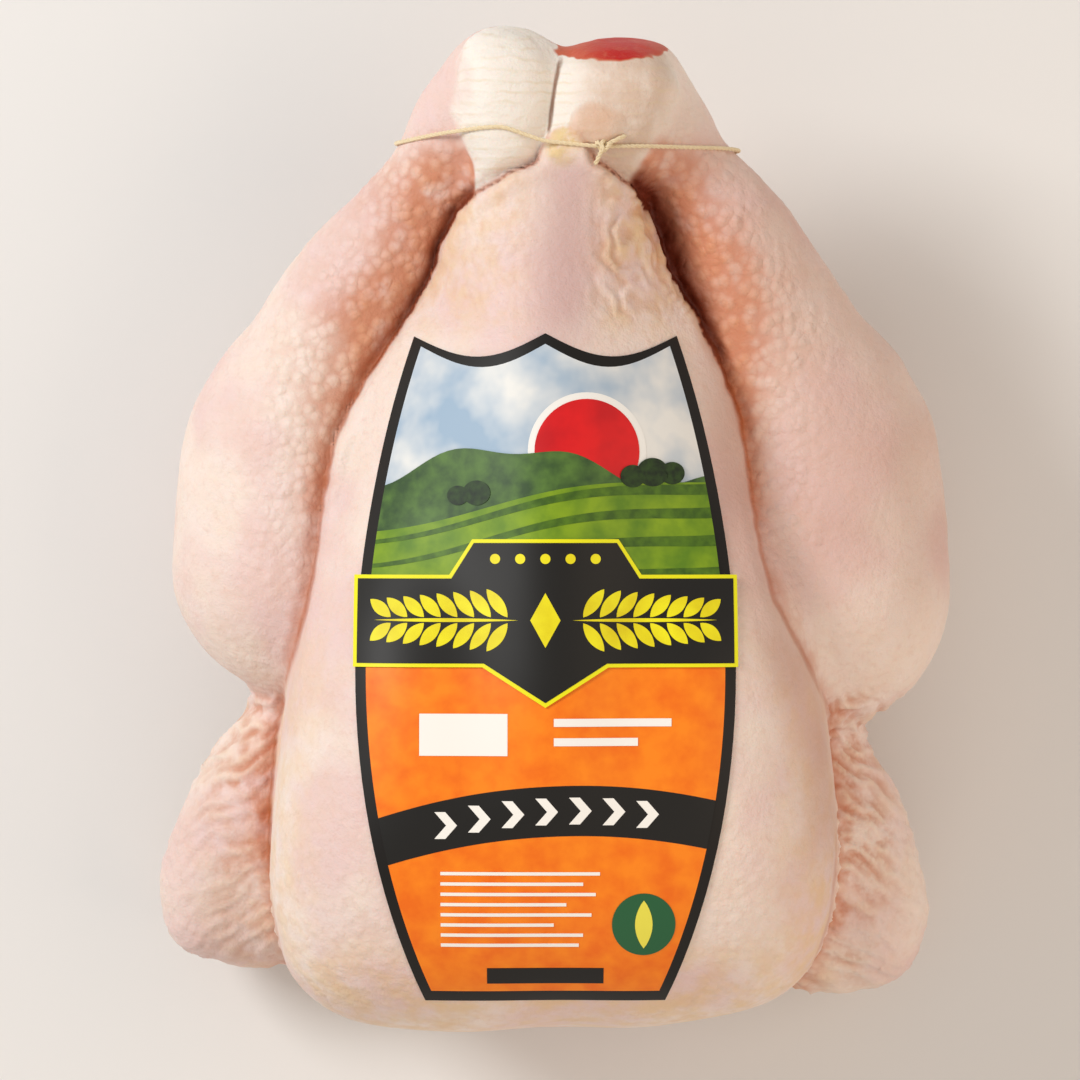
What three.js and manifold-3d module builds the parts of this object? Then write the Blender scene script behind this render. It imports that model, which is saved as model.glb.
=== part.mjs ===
// A whole raw chicken, dressed and trussed for the oven, lying on its back with the breast up.
// It is three pieces: the bird, the elastic string round its hocks and the label on its breast.
// Units are millimetres. X runs across the bird, Y from the neck end to the hocks, and Z up from
// the table. The bird is first shaped round its own midline and is then moved, so that the
// origin is the centre of the underside of its bounding box.

import * as THREE from "three";
import Module from "manifold-3d";

const wasm = await Module();
wasm.setup();

// Driving dimensions of the breast, which is two plump lobes with the keel between them
const BREAST_TOP = 116;
const LOBE_RADII = [42.5, 64.5, 49];
const KEEL_RADIUS = 16;

// Joints of each leg and wing, from its free end inwards, as x, y, z and the flesh's radius
const LEFT_DRUMSTICK = [
  [-15.2, 109, 80, 12.2],
  [-23.5, 98.5, 77, 12.2],
  [-28.5, 89.5, 74, 10.8],
  [-34.5, 79.5, 70, 12],
  [-48.6, 59, 62, 17.5],
  [-56.6, 39, 55, 22.8],
  [-62.5, 18.5, 49, 30.6],
  [-63.2, -8.5, 46, 33.3],
];
const RIGHT_DRUMSTICK = [
  [18.5, 107.5, 80, 13],
  [27, 96, 77, 12],
  [32, 88, 74, 10.8],
  [41, 77.5, 71, 12.8],
  [48, 60, 63, 18.4],
  [57.4, 38, 55, 23.7],
  [64.1, 17.5, 49, 31.6],
  [64.5, -16.5, 46, 34.3],
];
const LEFT_WING = [
  [-50, -97, 22, 12.5],
  [-87.5, -97, 27, 13],
  [-79, -72, 32, 15],
  [-66, -48, 36, 11],
];
const RIGHT_WING = [
  [50, -103, 22, 12.5],
  [79.8, -104.2, 27, 13.5],
  [74, -78, 32, 16],
  [65.5, -54, 36, 11],
];

// Each shank bends back at the hock and is tucked down into the belly
const LEFT_SHANK = [
  [-10.6, 108.5, 86, 13.2],
  [-11, 92, 87, 9.5],
  [-13, 78, 80, 9],
  [-10, 60, 68, 9],
];
const RIGHT_SHANK = [
  [14, 107, 86, 13.8],
  [13.5, 95, 87, 12],
  [12, 84, 81, 9.5],
  [6, 62, 68, 9],
];

// String and label
const STRING_RADIUS = 0.65;
const STRING_Y = 94.1;
const STRING_SLANT = -0.03;
const STRING_GAP = 0.7;
const KNOT_X = 13;
const KNOT_RADIUS = 1.9;
const LABEL_LENGTH = 161;
const LABEL_HALF_WIDTH = 45.5;
const LABEL_THICKNESS = 0.4;
const LABEL_GAP = 1.1;

// How finely the bird is meshed
const NET_STEP = 2.4;
const BIRD_TRIANGLES = 10400;

const degrees = THREE.MathUtils.degToRad;
const clamp = THREE.MathUtils.clamp;

// A rounded lump of flesh: an ellipsoid whose outline from above, and whose upright sections,
// are squarer as plan and profile rise over 2.
class Lump {
  constructor(centre, radii, { plan = 2, profile = 2, turn = 0 } = {}) {
    this.centre = centre;
    this.radii = radii;
    this.plan = plan;
    this.profile = profile;
    this.cos = Math.cos(degrees(turn));
    this.sin = Math.sin(degrees(turn));
  }

  // How far a point lies outside the lump, or minus how far inside.
  distance(x, y, z) {
    const [cx, cy, cz] = this.centre;
    const [rx, ry, rz] = this.radii;
    const { plan, profile } = this;
    const dx = x - cx;
    const dy = y - cy;
    const u = Math.abs(dx * this.cos + dy * this.sin) / rx;
    const v = Math.abs(dy * this.cos - dx * this.sin) / ry;
    const w = Math.abs(z - cz) / rz;
    const level = Math.max((u ** plan + v ** plan) ** (1 / plan), 1e-6);
    const reach = (level ** profile + w ** profile) ** (1 / profile);
    if (reach < 0.05) return -Math.min(rx, ry, rz);
    const tilt = (level / reach) ** (profile - 1);
    const slope = Math.hypot(
      (tilt * (u / level) ** (plan - 1)) / rx,
      (tilt * (v / level) ** (plan - 1)) / ry,
      (w / reach) ** (profile - 1) / rz,
    );
    return (reach - 1) / slope;
  }
}

// A limb: flesh of changing radius along a smooth line through joints, each x, y, z and radius.
class Limb {
  constructor(joints, depth = 1) {
    const line = new THREE.CatmullRomCurve3(joints.map(([x, y, z]) => new THREE.Vector3(x, y, z)));
    const girth = new THREE.CatmullRomCurve3(joints.map(([, , , r]) => new THREE.Vector3(r, 0, 0)));
    const steps = 3 * (joints.length - 1);
    this.depth = depth;
    this.joints = Array.from({ length: steps + 1 }, (_, i) => [
      ...line.getPoint(i / steps).toArray(),
      girth.getPoint(i / steps).x,
    ]);
  }

  distance(x, y, z) {
    let nearest = Infinity;
    for (let i = 1; i < this.joints.length; i++) {
      const [ax, ay, az, ar] = this.joints[i - 1];
      const [bx, by, bz, br] = this.joints[i];
      const ex = bx - ax;
      const ey = by - ay;
      const ez = (bz - az) / this.depth;
      const px = x - ax;
      const py = y - ay;
      const pz = (z - az) / this.depth;
      const t = clamp((px * ex + py * ey + pz * ez) / (ex * ex + ey * ey + ez * ez), 0, 1);
      const gap = Math.hypot(px - t * ex, py - t * ey, pz - t * ez) - (ar + (br - ar) * t);
      nearest = Math.min(nearest, gap);
    }
    return nearest;
  }
}

// Joins two forms with a fillet as wide as blend.
function join(a, b, blend) {
  const h = Math.max(blend - Math.abs(a - b), 0) / blend;
  return Math.min(a, b) - (h * h * blend) / 4;
}

const lobe = (turn) => ({ plan: 3.1, profile: 2.3, turn });
const breast = [
  new Lump([-25.5, -58.5, 66], LOBE_RADII, lobe(-7)),
  new Lump([25, -57.5, 66], LOBE_RADII, lobe(7)),
  new Lump([0, -75, 65], [46, 42, 47], lobe(0)),
  new Lump([-38.5, -96, 62], [26.5, 23.6, 34], { plan: 2.4 }),
  new Limb([
    [-1, -96, 78, KEEL_RADIUS],
    [-1, -62, BREAST_TOP - KEEL_RADIUS, KEEL_RADIUS],
    [-1, 5, 97, 13],
    [-2, 70, 80, 10],
  ]),
];
const flap = new Limb(
  [
    [-1, 60, 82, 20],
    [-1, 75, 86, 17],
    [2, 86, 90, 9.5],
    [4.5, 93.5, 92.5, 4],
  ],
  0.55,
);
const belly = [
  new Lump([-1, 5, 62], [53, 68, 46]),
  new Lump([-1, 64, 73], [28, 25, 20]),
  new Lump([0, 44, 50], [34, 42, 40]),
  flap,
];
const back = [
  new Lump([0, -18, 34], [50, 98, 42], { plan: 2.4, profile: 2.4 }),
  new Limb([
    [-26, -102, 36, 17],
    [0, -101, 37, 18],
    [26, -102, 36, 17],
  ]),
];
const tail = new Limb([
  [0, 66, 34, 20],
  [0, 84, 29, 14],
  [0, 97, 27, 9.5],
]);
const legs = [
  {
    drumstick: new Limb(LEFT_DRUMSTICK),
    thigh: new Lump([-45, 15, 33], [36, 52, 32], { turn: 16 }),
  },
  {
    drumstick: new Limb(RIGHT_DRUMSTICK),
    thigh: new Lump([46, 11, 33], [37, 54, 32], { turn: -16 }),
  },
];
const wings = [
  [new Limb(LEFT_WING, 1.25), new Lump([-68, -80, 30], [20, 28, 20], { turn: 14 })],
  [new Limb(RIGHT_WING, 1.25), new Lump([62, -86, 30], [20, 28, 20], { turn: -10 })],
];
const shanks = [new Limb(LEFT_SHANK), new Limb(RIGHT_SHANK)];

const joinAll = (forms, blend, x, y, z) =>
  forms.reduce((sum, form) => join(sum, form.distance(x, y, z), blend), 1e3);

// The right hock is cut off nearly square, so this plane trims that leg.
const hockCut = new THREE.Plane().setFromNormalAndCoplanarPoint(
  new THREE.Vector3(0.05, 0.96, 0.26).normalize(),
  new THREE.Vector3(15, 118.2, 86),
);

// How far a point lies outside the bird. Limbs meet the breast in a crease and run into the back.
function birdDistance(x, y, z) {
  const crease = 6 + 12 * THREE.MathUtils.smoothstep(45 - z, 0, 30);
  let trunk = join(joinAll(breast, 12, x, y, z), joinAll(belly, 9, x, y, z), 16);
  trunk = join(trunk, joinAll(back, 14, x, y, z), 22);
  trunk = join(trunk, tail.distance(x, y, z), 8);
  let bird = trunk;
  legs.forEach(({ drumstick, thigh }, side) => {
    let leg = join(drumstick.distance(x, y, z), thigh.distance(x, y, z), 9);
    leg = join(leg, shanks[side].distance(x, y, z), 6);
    if (side === 1) leg = -join(-leg, -hockCut.distanceToPoint({ x, y, z }), 2);
    bird = join(bird, leg, crease);
  });
  for (const wing of wings) bird = join(bird, joinAll(wing, 6, x, y, z), crease + 2);
  return bird;
}

// How far a point lies outside the two tied hocks and the tip of skin between them.
function hocksDistance(x, y, z) {
  const legsAndShanks = legs.map(({ drumstick }) => drumstick).concat(shanks, flap);
  return joinAll(legsAndShanks, 6, x, y, z);
}

// Direction in which a distance grows, at a point.
function slopeAt(distance, [x, y, z]) {
  const e = 0.05;
  return new THREE.Vector3(
    distance(x + e, y, z) - distance(x - e, y, z),
    distance(x, y + e, z) - distance(x, y - e, z),
    distance(x, y, z + e) - distance(x, y, z - e),
  ).divideScalar(2 * e);
}

// Moves a point along the slope on to the surface.
function settle(distance, point) {
  for (let round = 0; round < 3; round++) {
    const slope = slopeAt(distance, point);
    const step = distance(...point) / Math.max(slope.lengthSq(), 0.25);
    const move = slope.multiplyScalar(-step).clampLength(0, NET_STEP / 2);
    point = [point[0] + move.x, point[1] + move.y, point[2] + move.z];
  }
  return point;
}

// Samples a distance on a box of points.
function sampleGrid(distance, low, high, step) {
  const size = low.map((edge, axis) => Math.ceil((high[axis] - edge) / step) + 1);
  const stride = [1, size[0], size[0] * size[1]];
  const values = new Float64Array(stride[2] * size[2]);
  for (let k = 0, n = 0; k < size[2]; k++)
    for (let j = 0; j < size[1]; j++)
      for (let i = 0; i < size[0]; i++, n++)
        values[n] = distance(low[0] + i * step, low[1] + j * step, low[2] + k * step);
  return { low, step, size, stride, values };
}

// Fills the corners of any grid face that the surface would cross twice, which would pinch it.
function openPinches({ stride, size, values }) {
  for (let changed = true; changed; ) {
    changed = false;
    for (const [a, b] of [[0, 1], [0, 2], [1, 2]]) {
      for (let n = 0; n < values.length - stride[a] - stride[b]; n++) {
        const corners = [n, n + stride[a], n + stride[a] + stride[b], n + stride[b]];
        const inside = corners.map((c) => values[c] < 0);
        if (inside[0] !== inside[2] || inside[1] !== inside[3] || inside[0] === inside[1]) continue;
        const outer = inside[0] ? [corners[1], corners[3]] : [corners[0], corners[2]];
        values[values[outer[0]] < values[outer[1]] ? outer[0] : outer[1]] = -1e-3;
        changed = true;
      }
    }
  }
}

// Wraps the surface in a net with one vertex in each grid cell that it passes through.
function surfaceNet(distance, low, high, step) {
  const grid = sampleGrid(distance, low, high, step);
  openPinches(grid);
  const { size, stride, values } = grid;
  const points = [];
  const vertexOf = new Map();
  const cellVertex = (n) => {
    if (vertexOf.has(n)) return vertexOf.get(n);
    const sum = [0, 0, 0];
    let crossings = 0;
    for (let axis = 0; axis < 3; axis++) {
      const [b, c] = [(axis + 1) % 3, (axis + 2) % 3];
      for (const [p, q] of [[0, 0], [1, 0], [0, 1], [1, 1]]) {
        const from = n + p * stride[b] + q * stride[c];
        const [f, g] = [values[from], values[from + stride[axis]]];
        if (f < 0 === g < 0) continue;
        sum[axis] += f / (f - g);
        sum[b] += p;
        sum[c] += q;
        crossings++;
      }
    }
    const cell = [n % size[0], Math.floor(n / stride[1]) % size[1], Math.floor(n / stride[2])];
    const start = cell.map((at, axis) => low[axis] + (at + sum[axis] / crossings) * step);
    points.push(settle(distance, start));
    vertexOf.set(n, points.length - 1);
    return points.length - 1;
  };
  const triangles = [];
  for (let axis = 0; axis < 3; axis++) {
    const [b, c] = [stride[(axis + 1) % 3], stride[(axis + 2) % 3]];
    for (let n = 0; n < values.length - stride[axis]; n++) {
      const [f, g] = [values[n], values[n + stride[axis]]];
      if (f < 0 === g < 0) continue;
      const ring = [n - b - c, n - c, n, n - b].map(cellVertex);
      if (g < 0) ring.reverse();
      triangles.push([ring[0], ring[1], ring[2]], [ring[0], ring[2], ring[3]]);
    }
  }
  return { points: relaxed(distance, points, triangles), triangles };
}

// Evens out a net: each point moves to the middle of its neighbours and back on to the surface.
function relaxed(distance, points, triangles) {
  for (let round = 0; round < 2; round++) {
    const sums = points.map(() => [0, 0, 0, 0]);
    for (const triangle of triangles)
      for (let i = 0; i < 3; i++) {
        const sum = sums[triangle[i]];
        points[triangle[(i + 1) % 3]].forEach((value, axis) => (sum[axis] += value));
        sum[3]++;
      }
    points = sums.map(([x, y, z, count]) => settle(distance, [x / count, y / count, z / count]));
  }
  return points;
}

// The ten numbers of a plane's squared distance, weighted by area.
function planeQuadric(a, b, c) {
  const normal = new THREE.Vector3()
    .subVectors(b, a)
    .cross(new THREE.Vector3().subVectors(c, a));
  const area = normal.length();
  normal.divideScalar(area || 1);
  const { x, y, z } = normal;
  const w = -normal.dot(a);
  return [x * x, x * y, x * z, x * w, y * y, y * z, y * w, z * z, z * w, w * w].map((q) => q * area);
}

function quadricCost(q, { x, y, z }) {
  return (
    q[0] * x * x + 2 * q[1] * x * y + 2 * q[2] * x * z + 2 * q[3] * x +
    q[4] * y * y + 2 * q[5] * y * z + 2 * q[6] * y + q[7] * z * z + 2 * q[8] * z + q[9]
  );
}

// Thins a closed net to a number of triangles, where it is flattest first, by joining the two
// ends of the edge that costs least. An edge stays if joining it would pinch or fold the net.
function thin({ points, triangles }, wanted) {
  const at = points.map((p) => new THREE.Vector3(...p));
  const faces = triangles.map((t) => [...t]);
  const facesOf = at.map(() => new Set());
  faces.forEach((face, f) => face.forEach((p) => facesOf[p].add(f)));
  const quadrics = at.map(() => new Array(10).fill(0));
  for (const face of faces) {
    const q = planeQuadric(...face.map((p) => at[p]));
    for (const p of face) q.forEach((value, i) => (quadrics[p][i] += value));
  }
  const age = new Int32Array(at.length);
  const queue = [];
  const neighbours = (p) => {
    const found = new Set();
    for (const f of facesOf[p]) faces[f].forEach((n) => n !== p && found.add(n));
    return found;
  };

  const push = (p, q) => {
    const sum = quadrics[p].map((value, i) => value + quadrics[q][i]);
    const middle = at[p].clone().add(at[q]).multiplyScalar(0.5);
    const choices = [middle, at[p], at[q]];
    const solved = new THREE.Matrix3().set(
      sum[0], sum[1], sum[2], sum[1], sum[4], sum[5], sum[2], sum[5], sum[7],
    );
    const strength = (sum[0] + sum[4] + sum[7]) ** 3;
    if (Math.abs(solved.determinant()) > 1e-3 * strength)
      choices.push(new THREE.Vector3(-sum[3], -sum[6], -sum[8]).applyMatrix3(solved.invert()));
    const costs = choices.map((c) => quadricCost(sum, c));
    const best = costs.indexOf(Math.min(...costs));
    const length = at[p].distanceToSquared(at[q]);
    const entry = { cost: Math.max(costs[best], 0) + 4e-4 * length * length, p, q, to: choices[best] };
    entry.age = age[p] + age[q];
    let child = queue.push(entry) - 1;
    while (child > 0) {
      const parent = (child - 1) >> 1;
      if (queue[parent].cost <= queue[child].cost) break;
      [queue[parent], queue[child]] = [queue[child], queue[parent]];
      child = parent;
    }
  };
  const pop = () => {
    const first = queue[0];
    const last = queue.pop();
    if (!queue.length) return first;
    queue[0] = last;
    for (let parent = 0; ; ) {
      let least = parent;
      for (const child of [2 * parent + 1, 2 * parent + 2])
        if (child < queue.length && queue[child].cost < queue[least].cost) least = child;
      if (least === parent) return first;
      [queue[parent], queue[least]] = [queue[least], queue[parent]];
      parent = least;
    }
  };

  const folds = (p, q, to) => {
    for (const f of facesOf[p]) {
      if (faces[f].includes(q)) continue;
      const old = faces[f].map((n) => at[n]);
      const moved = faces[f].map((n) => (n === p ? to : at[n]));
      const before = new THREE.Triangle(...old).getNormal(new THREE.Vector3());
      const triangle = new THREE.Triangle(...moved);
      const after = triangle.getNormal(new THREE.Vector3());
      const longest = Math.max(
        moved[0].distanceToSquared(moved[1]),
        moved[1].distanceToSquared(moved[2]),
        moved[2].distanceToSquared(moved[0]),
      );
      if (before.dot(after) < 0.5 || triangle.getArea() < 0.12 * longest) return true;
    }
    return false;
  };

  faces.forEach(([a, b, c]) => [[a, b], [b, c], [c, a]].forEach(([p, q]) => p < q && push(p, q)));
  let left = faces.length;
  while (left > wanted && queue.length) {
    const { p, q, to, age: asked } = pop();
    if (asked !== age[p] + age[q] || !facesOf[p].size || !facesOf[q].size) continue;
    const around = neighbours(p);
    const shared = [...neighbours(q)].filter((n) => around.has(n));
    if (shared.length !== 2 || folds(p, q, to) || folds(q, p, to)) continue;
    for (const f of [...facesOf[q]]) {
      if (faces[f].includes(p)) {
        faces[f].forEach((n) => facesOf[n].delete(f));
        faces[f] = null;
        left--;
      } else {
        faces[f] = faces[f].map((n) => (n === q ? p : n));
        facesOf[p].add(f);
      }
    }
    facesOf[q].clear();
    at[p].copy(to);
    quadrics[q].forEach((value, i) => (quadrics[p][i] += value));
    age[p] += at.length;
    age[q] += at.length;
    neighbours(p).forEach((n) => {
      push(p, n);
    });
  }
  return { points: at.map((v) => v.toArray()), triangles: faces.filter(Boolean) };
}

// A closed net as a solid that can be joined and cut.
function solidOf({ points, triangles }) {
  const used = [...new Set(triangles.flat())];
  const number = new Map(used.map((p, i) => [p, i]));
  return new wasm.Manifold(
    new wasm.Mesh({
      numProp: 3,
      vertProperties: new Float32Array(used.flatMap((p) => points[p])),
      triVerts: new Uint32Array(triangles.flat().map((p) => number.get(p))),
    }),
  );
}

// The net of a three.js geometry, with the points that lie together merged.
function netOf(geometry) {
  const flat = geometry.index ? geometry.toNonIndexed() : geometry;
  const place = flat.getAttribute("position");
  const points = [];
  const seen = new Map();
  const order = [];
  for (let i = 0; i < place.count; i++) {
    const point = [place.getX(i), place.getY(i), place.getZ(i)];
    const key = point.map((value) => Math.round(value * 1e4)).join();
    if (!seen.has(key)) seen.set(key, points.push(point) - 1);
    order.push(seen.get(key));
  }
  const triangles = [];
  for (let i = 0; i < order.length; i += 3) {
    const [a, b, c] = order.slice(i, i + 3);
    if (a !== b && b !== c && c !== a) triangles.push([a, b, c]);
  }
  return { points, triangles };
}

function geometryOf(solid) {
  const { vertProperties, triVerts, numProp } = solid.getMesh();
  const place = new Float32Array((vertProperties.length / numProp) * 3);
  for (let i = 0; i < place.length; i++)
    place[i] = vertProperties[Math.floor(i / 3) * numProp + (i % 3)];
  const geometry = new THREE.BufferGeometry();
  geometry.setAttribute("position", new THREE.BufferAttribute(place, 3));
  geometry.setIndex(new THREE.BufferAttribute(new Uint32Array(triVerts), 1));
  geometry.computeVertexNormals();
  return geometry;
}

// The bird's flesh, cut flat where its back presses on the table.
function makeBird() {
  const net = surfaceNet(birdDistance, [-108, -138, -16], [108, 136, 126], NET_STEP);
  const flesh = solidOf(thin(net, BIRD_TRIANGLES));
  const table = new THREE.BoxGeometry(400, 400, 60).translate(0, 0, -30);
  return geometryOf(flesh.subtract(solidOf(netOf(table))));
}

// Height of the surface that lies a gap above the bird, straight above or below x, y.
function heightAbove(x, y, gap) {
  let z = 130;
  for (let round = 0; round < 60; round++) z -= Math.max(birdDistance(x, y, z) - gap, 0) * 0.7;
  return z;
}

// The label's cut: two shallow scallops at the top, sides that swell to the middle, a straight foot.
function makeLabel() {
  const columns = 16;
  const rows = 26;
  const foot = -114.5;
  const side = new THREE.QuadraticBezierCurve(
    new THREE.Vector2(29, foot),
    new THREE.Vector2(2 * LABEL_HALF_WIDTH - 30.5, foot + 0.46 * LABEL_LENGTH),
    new THREE.Vector2(32, foot + LABEL_LENGTH),
  );
  const scallopDepth = 5.5;
  const middle = -2.7;
  const points = [];
  for (const lift of [LABEL_GAP, LABEL_GAP + LABEL_THICKNESS])
    for (let j = 0; j <= rows; j++) {
      const edge = side.getPoint(j / rows);
      for (let i = 0; i <= columns; i++) {
        const across = (2 * i) / columns - 1;
        const scallop = Math.sin(Math.PI * Math.abs(across)) * scallopDepth;
        const x = middle + edge.x * across;
        const y = edge.y - scallop * Math.max(0, j / rows - 0.8) * 5;
        points.push([x, y, heightAbove(x, y, lift)]);
      }
    }
  const width = columns + 1;
  const layer = width * (rows + 1);
  const triangles = [];
  const quad = (a, b, c, d) => triangles.push([a, b, c], [a, c, d]);
  for (let j = 0; j < rows; j++)
    for (let i = 0; i < columns; i++) {
      const n = j * width + i;
      quad(n, n + width, n + width + 1, n + 1);
      quad(layer + n, layer + n + 1, layer + n + width + 1, layer + n + width);
    }
  const wall = (a, b) => quad(a, b, layer + b, layer + a);
  for (let i = 0; i < columns; i++) {
    wall(i, i + 1);
    wall(rows * width + i + 1, rows * width + i);
  }
  for (let j = 0; j < rows; j++) {
    wall((j + 1) * width, j * width);
    wall(j * width + columns, (j + 1) * width + columns);
  }
  return geometryOf(solidOf({ points, triangles }));
}

// The string lies in an upright plane, a little askew across the hocks.
const onString = (x, z) => new THREE.Vector3(x, STRING_Y + STRING_SLANT * x, z);

// The tight loop's line: the shortest way round the two hocks.
function stringRoute() {
  const clear = STRING_RADIUS + STRING_GAP;
  const centre = [0, 80];
  const rays = 240;
  const outline = [];
  for (let i = 0; i < rays; i++) {
    const angle = (2 * Math.PI * i) / rays;
    const [across, up] = [Math.cos(angle), Math.sin(angle)];
    const at = (reach) => onString(centre[0] + reach * across, centre[1] + reach * up);
    let reach = 90;
    for (let round = 0; round < 80; round++)
      reach -= Math.max(hocksDistance(...at(reach).toArray()) - clear, 0) * 0.6;
    outline.push([at(reach).x, at(reach).z]);
  }
  const hull = [];
  const turn = (a, b, c) => (b[0] - a[0]) * (c[1] - a[1]) - (b[1] - a[1]) * (c[0] - a[0]);
  const start = outline.reduce((least, p, i) => (p[1] < outline[least][1] ? i : least), 0);
  for (let i = 0; i <= rays; i++) {
    const point = outline[(start + i) % rays];
    while (hull.length > 1 && turn(hull.at(-2), hull.at(-1), point) <= 0) hull.pop();
    hull.push(point);
  }
  const path = new THREE.CurvePath();
  for (let i = 1; i < hull.length; i++)
    path.add(new THREE.LineCurve3(onString(...hull[i - 1]), onString(...hull[i])));
  const steps = 60;
  const line = [];
  for (let i = 0; i < steps; i++) line.push(path.getPointAt(i / steps));
  return new THREE.CatmullRomCurve3(line, true, "centripetal");
}

// A short round tube along a line, closed at both ends.
function shortEnd(points) {
  const section = new THREE.Shape();
  section.absarc(0, 0, STRING_RADIUS, 0, 2 * Math.PI);
  const extrudePath = new THREE.CatmullRomCurve3(points);
  const settings = { extrudePath, steps: 5, curveSegments: 4, bevelEnabled: false };
  return new THREE.ExtrudeGeometry(section, settings);
}

// The elastic string: a closed loop, with a small knot over one hock and two short ends.
function makeString() {
  const route = stringRoute();
  let solid = solidOf(netOf(new THREE.TubeGeometry(route, 64, STRING_RADIUS, 6, true)));
  const knot = route.getPoints(400).reduce((best, point) => {
    const nearer = point.z > 90 && Math.abs(point.x - KNOT_X) < Math.abs(best.x - KNOT_X);
    return nearer ? point : best;
  });
  knot.z += 0.9;
  for (const [tilt, lean] of [[-35, 20], [0, -25], [40, 10]]) {
    const turn = new THREE.TorusGeometry(KNOT_RADIUS - STRING_RADIUS, STRING_RADIUS, 6, 12);
    turn.rotateY(degrees(90 + tilt)).rotateX(degrees(lean));
    turn.translate(knot.x + tilt / 60, knot.y, knot.z);
    solid = solid.add(solidOf(netOf(turn)));
  }
  for (const [dx, dy] of [[4.5, 5], [5.5, -4]]) {
    const tip = [0, 0.5, 1].map((t) => {
      const [x, y] = [knot.x + dx * t, knot.y + dy * t * t];
      return new THREE.Vector3(x, y, knot.z + 0.6 * Math.sin(Math.PI * t));
    });
    solid = solid.add(solidOf(netOf(shortEnd(tip))));
  }
  return geometryOf(solid);
}

const skin = new THREE.MeshStandardMaterial({ color: 0xe9cdb9, roughness: 0.45, metalness: 0 });
const paper = new THREE.MeshStandardMaterial({ color: 0xf26a0c, roughness: 0.4, metalness: 0 });
const elastic = new THREE.MeshStandardMaterial({ color: 0xe6cfa0, roughness: 0.6, metalness: 0 });

function named(name, geometry, material) {
  const mesh = new THREE.Mesh(geometry, material);
  mesh.name = name;
  return mesh;
}

const dressed = new THREE.Group();
dressed.add(named("chicken", makeBird(), skin));
dressed.add(named("label", makeLabel(), paper));
dressed.add(named("string", makeString(), elastic));

// The origin goes to the centre of the underside of the bounding box.
const box = new THREE.Box3().setFromObject(dressed);
const middle = box.getCenter(new THREE.Vector3());
dressed.position.set(-middle.x, -middle.y, -box.min.z);

const part = new THREE.Group();
part.add(dressed);

export default part;
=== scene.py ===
"""A whole raw chicken in Blender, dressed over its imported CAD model.

The bird lies on its back and is seen from straight above. Its skin is sculpted from a copy of the
CAD solid, the label is draped on the skin, and the elastic string is laid up from three strands.
Lengths in this file are millimetres in the CAD model's frame, turned to metres at the last step.
"""

import logging
import math
from dataclasses import dataclass, field
from enum import Enum, IntEnum
from typing import Callable, Sequence

import bmesh
import bpy
import numpy as np
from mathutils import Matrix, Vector, noise
from mathutils.bvhtree import BVHTree
from mathutils.kdtree import KDTree


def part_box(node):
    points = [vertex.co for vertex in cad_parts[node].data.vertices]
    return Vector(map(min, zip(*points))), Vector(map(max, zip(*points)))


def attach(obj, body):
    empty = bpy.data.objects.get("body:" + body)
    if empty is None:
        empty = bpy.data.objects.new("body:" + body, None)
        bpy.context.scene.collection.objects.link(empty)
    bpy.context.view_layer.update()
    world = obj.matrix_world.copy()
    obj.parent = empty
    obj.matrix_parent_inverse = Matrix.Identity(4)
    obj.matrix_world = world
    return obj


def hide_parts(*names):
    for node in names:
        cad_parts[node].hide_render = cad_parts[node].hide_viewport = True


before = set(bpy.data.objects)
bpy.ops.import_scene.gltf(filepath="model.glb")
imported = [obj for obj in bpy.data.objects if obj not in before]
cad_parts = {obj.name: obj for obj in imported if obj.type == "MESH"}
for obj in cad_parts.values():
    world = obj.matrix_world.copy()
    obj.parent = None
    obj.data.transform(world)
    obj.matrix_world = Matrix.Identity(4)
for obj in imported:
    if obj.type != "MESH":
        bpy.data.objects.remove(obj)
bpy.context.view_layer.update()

MM = 0.001
LOG = logging.getLogger("chicken")

# How the bird is seen: straight down, at this scale at mid height
CAMERA_HEIGHT = 1300.0
PHOTO_PIXELS = 1080
PHOTO_SCALE = 0.25
SCALE_HEIGHT = 55.0
CAMERA_AIM = (-2.8, -1.6)
SENSOR = 36.0

# Sockets of a node that mixes two colours
MIX_SHARE, MIX_FIRST, MIX_SECOND, MIX_RESULT = 0, 6, 7, 2

# A wave texture of scale 1 has a band about every 0.31 m
WAVE_REPEAT = 0.31

# Sizes of the sculptor's four noises: tiny, small, middling and large
NOISE_SIZES = (2.2, 5.0, 15.0, 30.0)

# The y over which the leg gives way to the wing, and the height that follicles start at
LEG_FOOT = (-36, -44)
FOLLICLES_ABOVE = 25

# Edge of the breast and belly skin, as x and y: up over the left wing and leg, round the tongue
# between the hocks, and down over the right leg and wing
TRUNK_EDGE = (
    (-62, -132), (-65.8, -106), (-68.3, -92), (-70, -82), (-70, -67), (-68.6, -50), (-66, -40),
    (-62.2, -29), (-59, -16.5), (-57.7, -6.5), (-56, 8), (-53.5, 21), (-48.6, 33), (-40.9, 45),
    (-32.5, 57.5), (-28.3, 66), (-26.8, 71), (-22.9, 78.5), (-17.6, 83.3), (-10.4, 87.2),
    (-3.6, 90.1), (-2.2, 93.5), (0.2, 96.8), (3.1, 98), (6, 96.8), (8.9, 93), (10.5, 90.6),
    (15.7, 87.2), (20.5, 82.9), (22.9, 80.4), (25.3, 74.7), (26.8, 69.5), (30, 62), (34.2, 56),
    (39.6, 45.2), (44.3, 33), (47.2, 21), (48.7, 8), (50.5, -4), (53.7, -16.5), (60.4, -29),
    (67, -41.5), (69.2, -54), (70, -68), (69.4, -80), (68, -93.5), (64.7, -104), (61, -112),
    (56, -132),
)

# The tongue's own part of that edge, from which its raised skin is made
TONGUE_EDGE = tuple(p for p in TRUNK_EDGE if p[1] > 60) + ((24, 56), (-26, 56))

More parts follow.
